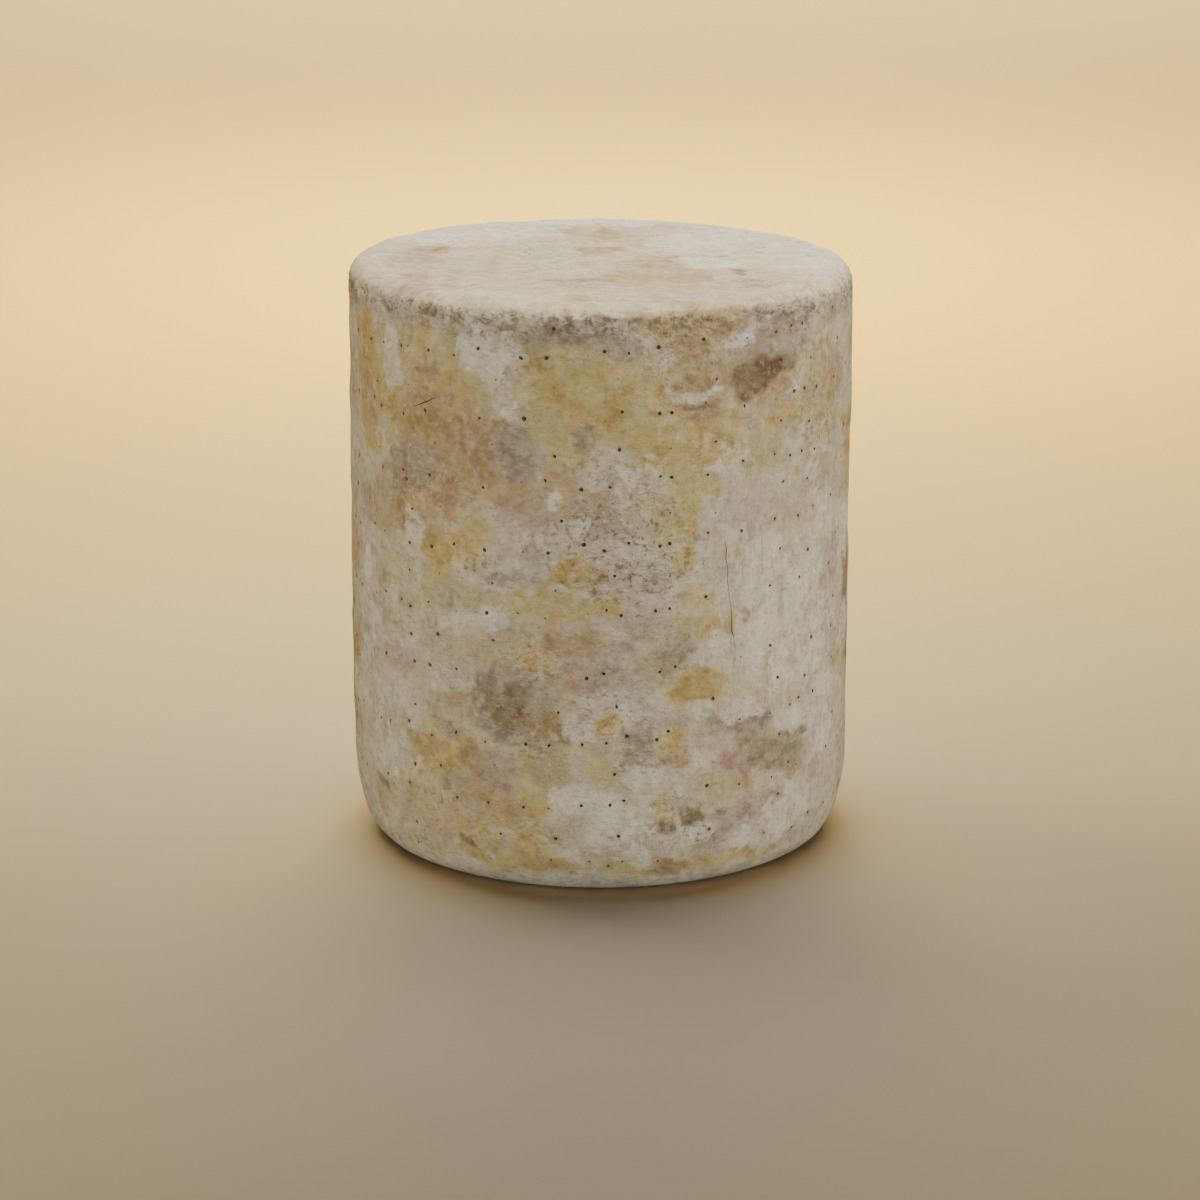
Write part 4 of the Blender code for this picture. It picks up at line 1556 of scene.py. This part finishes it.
def finish_floor(material):
    """Smooth pale board with hardly any tone of its own."""
    material.use_nodes = True
    tree = material.node_tree
    shader = tree.nodes["Principled BSDF"]
    drift = between(tree, noise_value(tree, FLOOR_DRIFT, *FLOOR_NOISE, seed=40.0), *FLOOR_EDGE)
    darker = (*(FLOOR_SHADE * part for part in FLOOR_COLOR[:3]), 1)
    tree.links.new(blend_color(tree, drift, darker, FLOOR_COLOR), shader.inputs["Base Color"])
    shader.inputs["Roughness"].default_value = FLOOR_ROUGHNESS


floor_finish = bpy.data.materials.new("floor")
finish_floor(floor_finish)
floor_mesh.materials.append(floor_finish)
floor.visible_diffuse = False
print(f"floor: {FLOOR_RADIUS} m from its middle to its edge")

# %% [markdown]
# ### The lights
#
# Four lights behind and above the drum make the floor glow there and drop a soft shadow towards
# the viewer, and a weak fill at each side keeps that shadow short. In a studio, black cards keep
# a lamp off what it shouldn't light. Blender does the same with light linking: a lamp that is
# given a collection lights only what is in it. So the drum has soft lights of its own, above,
# high and low at both sides, low in front and behind, and they leave the floor and its shadow
# alone.

# %% Set the lights
def lit_alone(thing):
    """A collection for light linking that holds one thing."""
    alone = bpy.data.collections.new(thing.name + " alone")
    alone.objects.link(thing)
    return alone


def soft_light(name, place, aim, size, power, color, alone=None, spread=180):
    """A soft box, with its width and length, that shines from a place towards a point."""
    lamp = bpy.data.lights.new(name, "AREA")
    lamp.shape = "RECTANGLE"
    lamp.size, lamp.size_y = size
    lamp.energy = power
    lamp.color = color
    lamp.spread = math.radians(spread)
    box = bpy.data.objects.new(name, lamp)
    box.location = place
    box.rotation_euler = (Vector(aim) - Vector(place)).to_track_quat("-Z", "Y").to_euler()
    box.light_linking.receiver_collection = alone
    bpy.context.scene.collection.objects.link(box)
    return box


def floor_light(name, place, size, power, color, spread=180):
    """A soft box that shines straight down on the floor alone."""
    return soft_light(name, place, (*place[:2], 0.0), size, power, color, floor_alone, spread)


def rind_light(name, place, size, power, color, aim=(0.0, 0.0, HEIGHT / 2)):
    """A square soft box for the rind alone."""
    return soft_light(name, place, aim, (size, size), power, color, rind_alone)


floor_alone, rind_alone = lit_alone(floor), lit_alone(rind)
floor_light("backdrop glow", (0.0, 3.2, 1.8), (2.2, 2.2), 111.5, (1.0, 0.822, 0.249))
floor_light("floor pool", (0.0, 1.2, 1.9), (0.7, 0.7), 12.8, (1.0, 0.771, 0.096), 60)
floor_light("high ceiling", (0.0, 4.0, 10.0), (6.0, 6.0), 273, (0.769, 0.78, 1.0))
floor_light("shadow maker", (0.0, 0.3, 3.0), (0.3, 0.9), 0.6, (0.479, 0.708, 1.0), 25)
for side, power in ((-1, 1.6), (1, 0.9)):
    place = (0.35 * side, 0.25, 0.6)
    soft_light("side fill", place, (0, 0, 0), (0.3, 0.3), power, (0.98, 1.0, 0.6), floor_alone)

rind_light("overhead", (0.1, 0.15, 1.0), 0.6, 5.6, (0.97, 1.0, 0.92), (0.0, 0.4, 0.0))
rind_light("top", (0.0, 0.2, 1.4), 0.6, 6.6, (1.0, 0.86, 0.72), (0.0, 0.0, HEIGHT))
rind_light("high right", (1.4, -0.6, 1.5), 1.0, 21.6, (1.0, 0.895, 0.80))
rind_light("high left", (-1.4, -0.6, 1.5), 1.0, 10.8, (1.0, 0.895, 0.80))
rind_light("low front", (0.4, -3.2, 0.25), 0.4, 43, (0.98, 0.985, 0.97), (0.0, 0.0, 0.15))
rind_light("low left", (-1.5, -0.4, 0.45), 0.8, 9.5, (1.0, 0.85, 0.60))
rind_light("low right", (1.5, -0.4, 0.45), 0.8, 6.8, (1.0, 0.85, 0.60))
rind_light("back", (0.0, 2.6, 0.5), 1.2, 46, (1.0, 0.93, 0.82))

# %% [markdown]
# ### The room
#
# A real studio has walls that send back a little light from all round. A dim even world does
# that. The camera may also see past the floor's edge, so what it sees there is a pale wall
# instead of that dim grey.

# %% Fill the room
ROOM_LIGHT = (0.96, 0.98, 1.0, 1)
ROOM_STRENGTH = 0.02
BACKDROP = (1.5, 1.0, 0.33, 1)


def finish_room(room):
    """A dim grey light from all round, and a pale wall where the camera sees past the floor."""
    room.use_nodes = True
    tree = room.node_tree
    light = tree.nodes["Background"]
    light.inputs["Color"].default_value = ROOM_LIGHT
    light.inputs["Strength"].default_value = ROOM_STRENGTH
    wall = add_node(tree, "ShaderNodeBackground", Color=BACKDROP)
    seen = tree.nodes.new("ShaderNodeLightPath").outputs["Is Camera Ray"]
    choice = tree.nodes.new("ShaderNodeMixShader")
    for socket, value in zip(choice.inputs, (seen, light.outputs[0], wall.outputs[0])):
        connect(tree, socket, value)
    tree.links.new(choice.outputs[0], tree.nodes["World Output"].inputs["Surface"])


world = bpy.data.worlds.new("soft room")
finish_room(world)
bpy.context.scene.world = world
print("room light:", ROOM_STRENGTH)

# %% [markdown]
# ### The camera
#
# A long lens from a metre and a half away looks down at the drum by about 15 degrees. The place
# was found by fitting the drum's outline: a wider lens from nearer by would show the top more
# open than the foot.

# %% Place the camera
FOCAL_LENGTH = 114.7
SENSOR_WIDTH = 36
CAMERA_PLACE = (0.0, -1.4917, 0.5049)
CAMERA_DIP = 15.4547

lens = bpy.data.cameras.new("camera")
lens.lens = FOCAL_LENGTH
lens.sensor_width = SENSOR_WIDTH
camera = bpy.data.objects.new("camera", lens)
camera.location = CAMERA_PLACE
camera.rotation_euler = (math.radians(90 - CAMERA_DIP), 0.0, 0.0)
bpy.context.scene.collection.objects.link(camera)
bpy.context.scene.camera = camera
print(f"camera: {FOCAL_LENGTH} mm lens, looking {CAMERA_DIP:.1f} degrees down")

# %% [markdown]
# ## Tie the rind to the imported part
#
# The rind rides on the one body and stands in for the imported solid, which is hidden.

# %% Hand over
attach(rind, "root")
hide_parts("cheese")
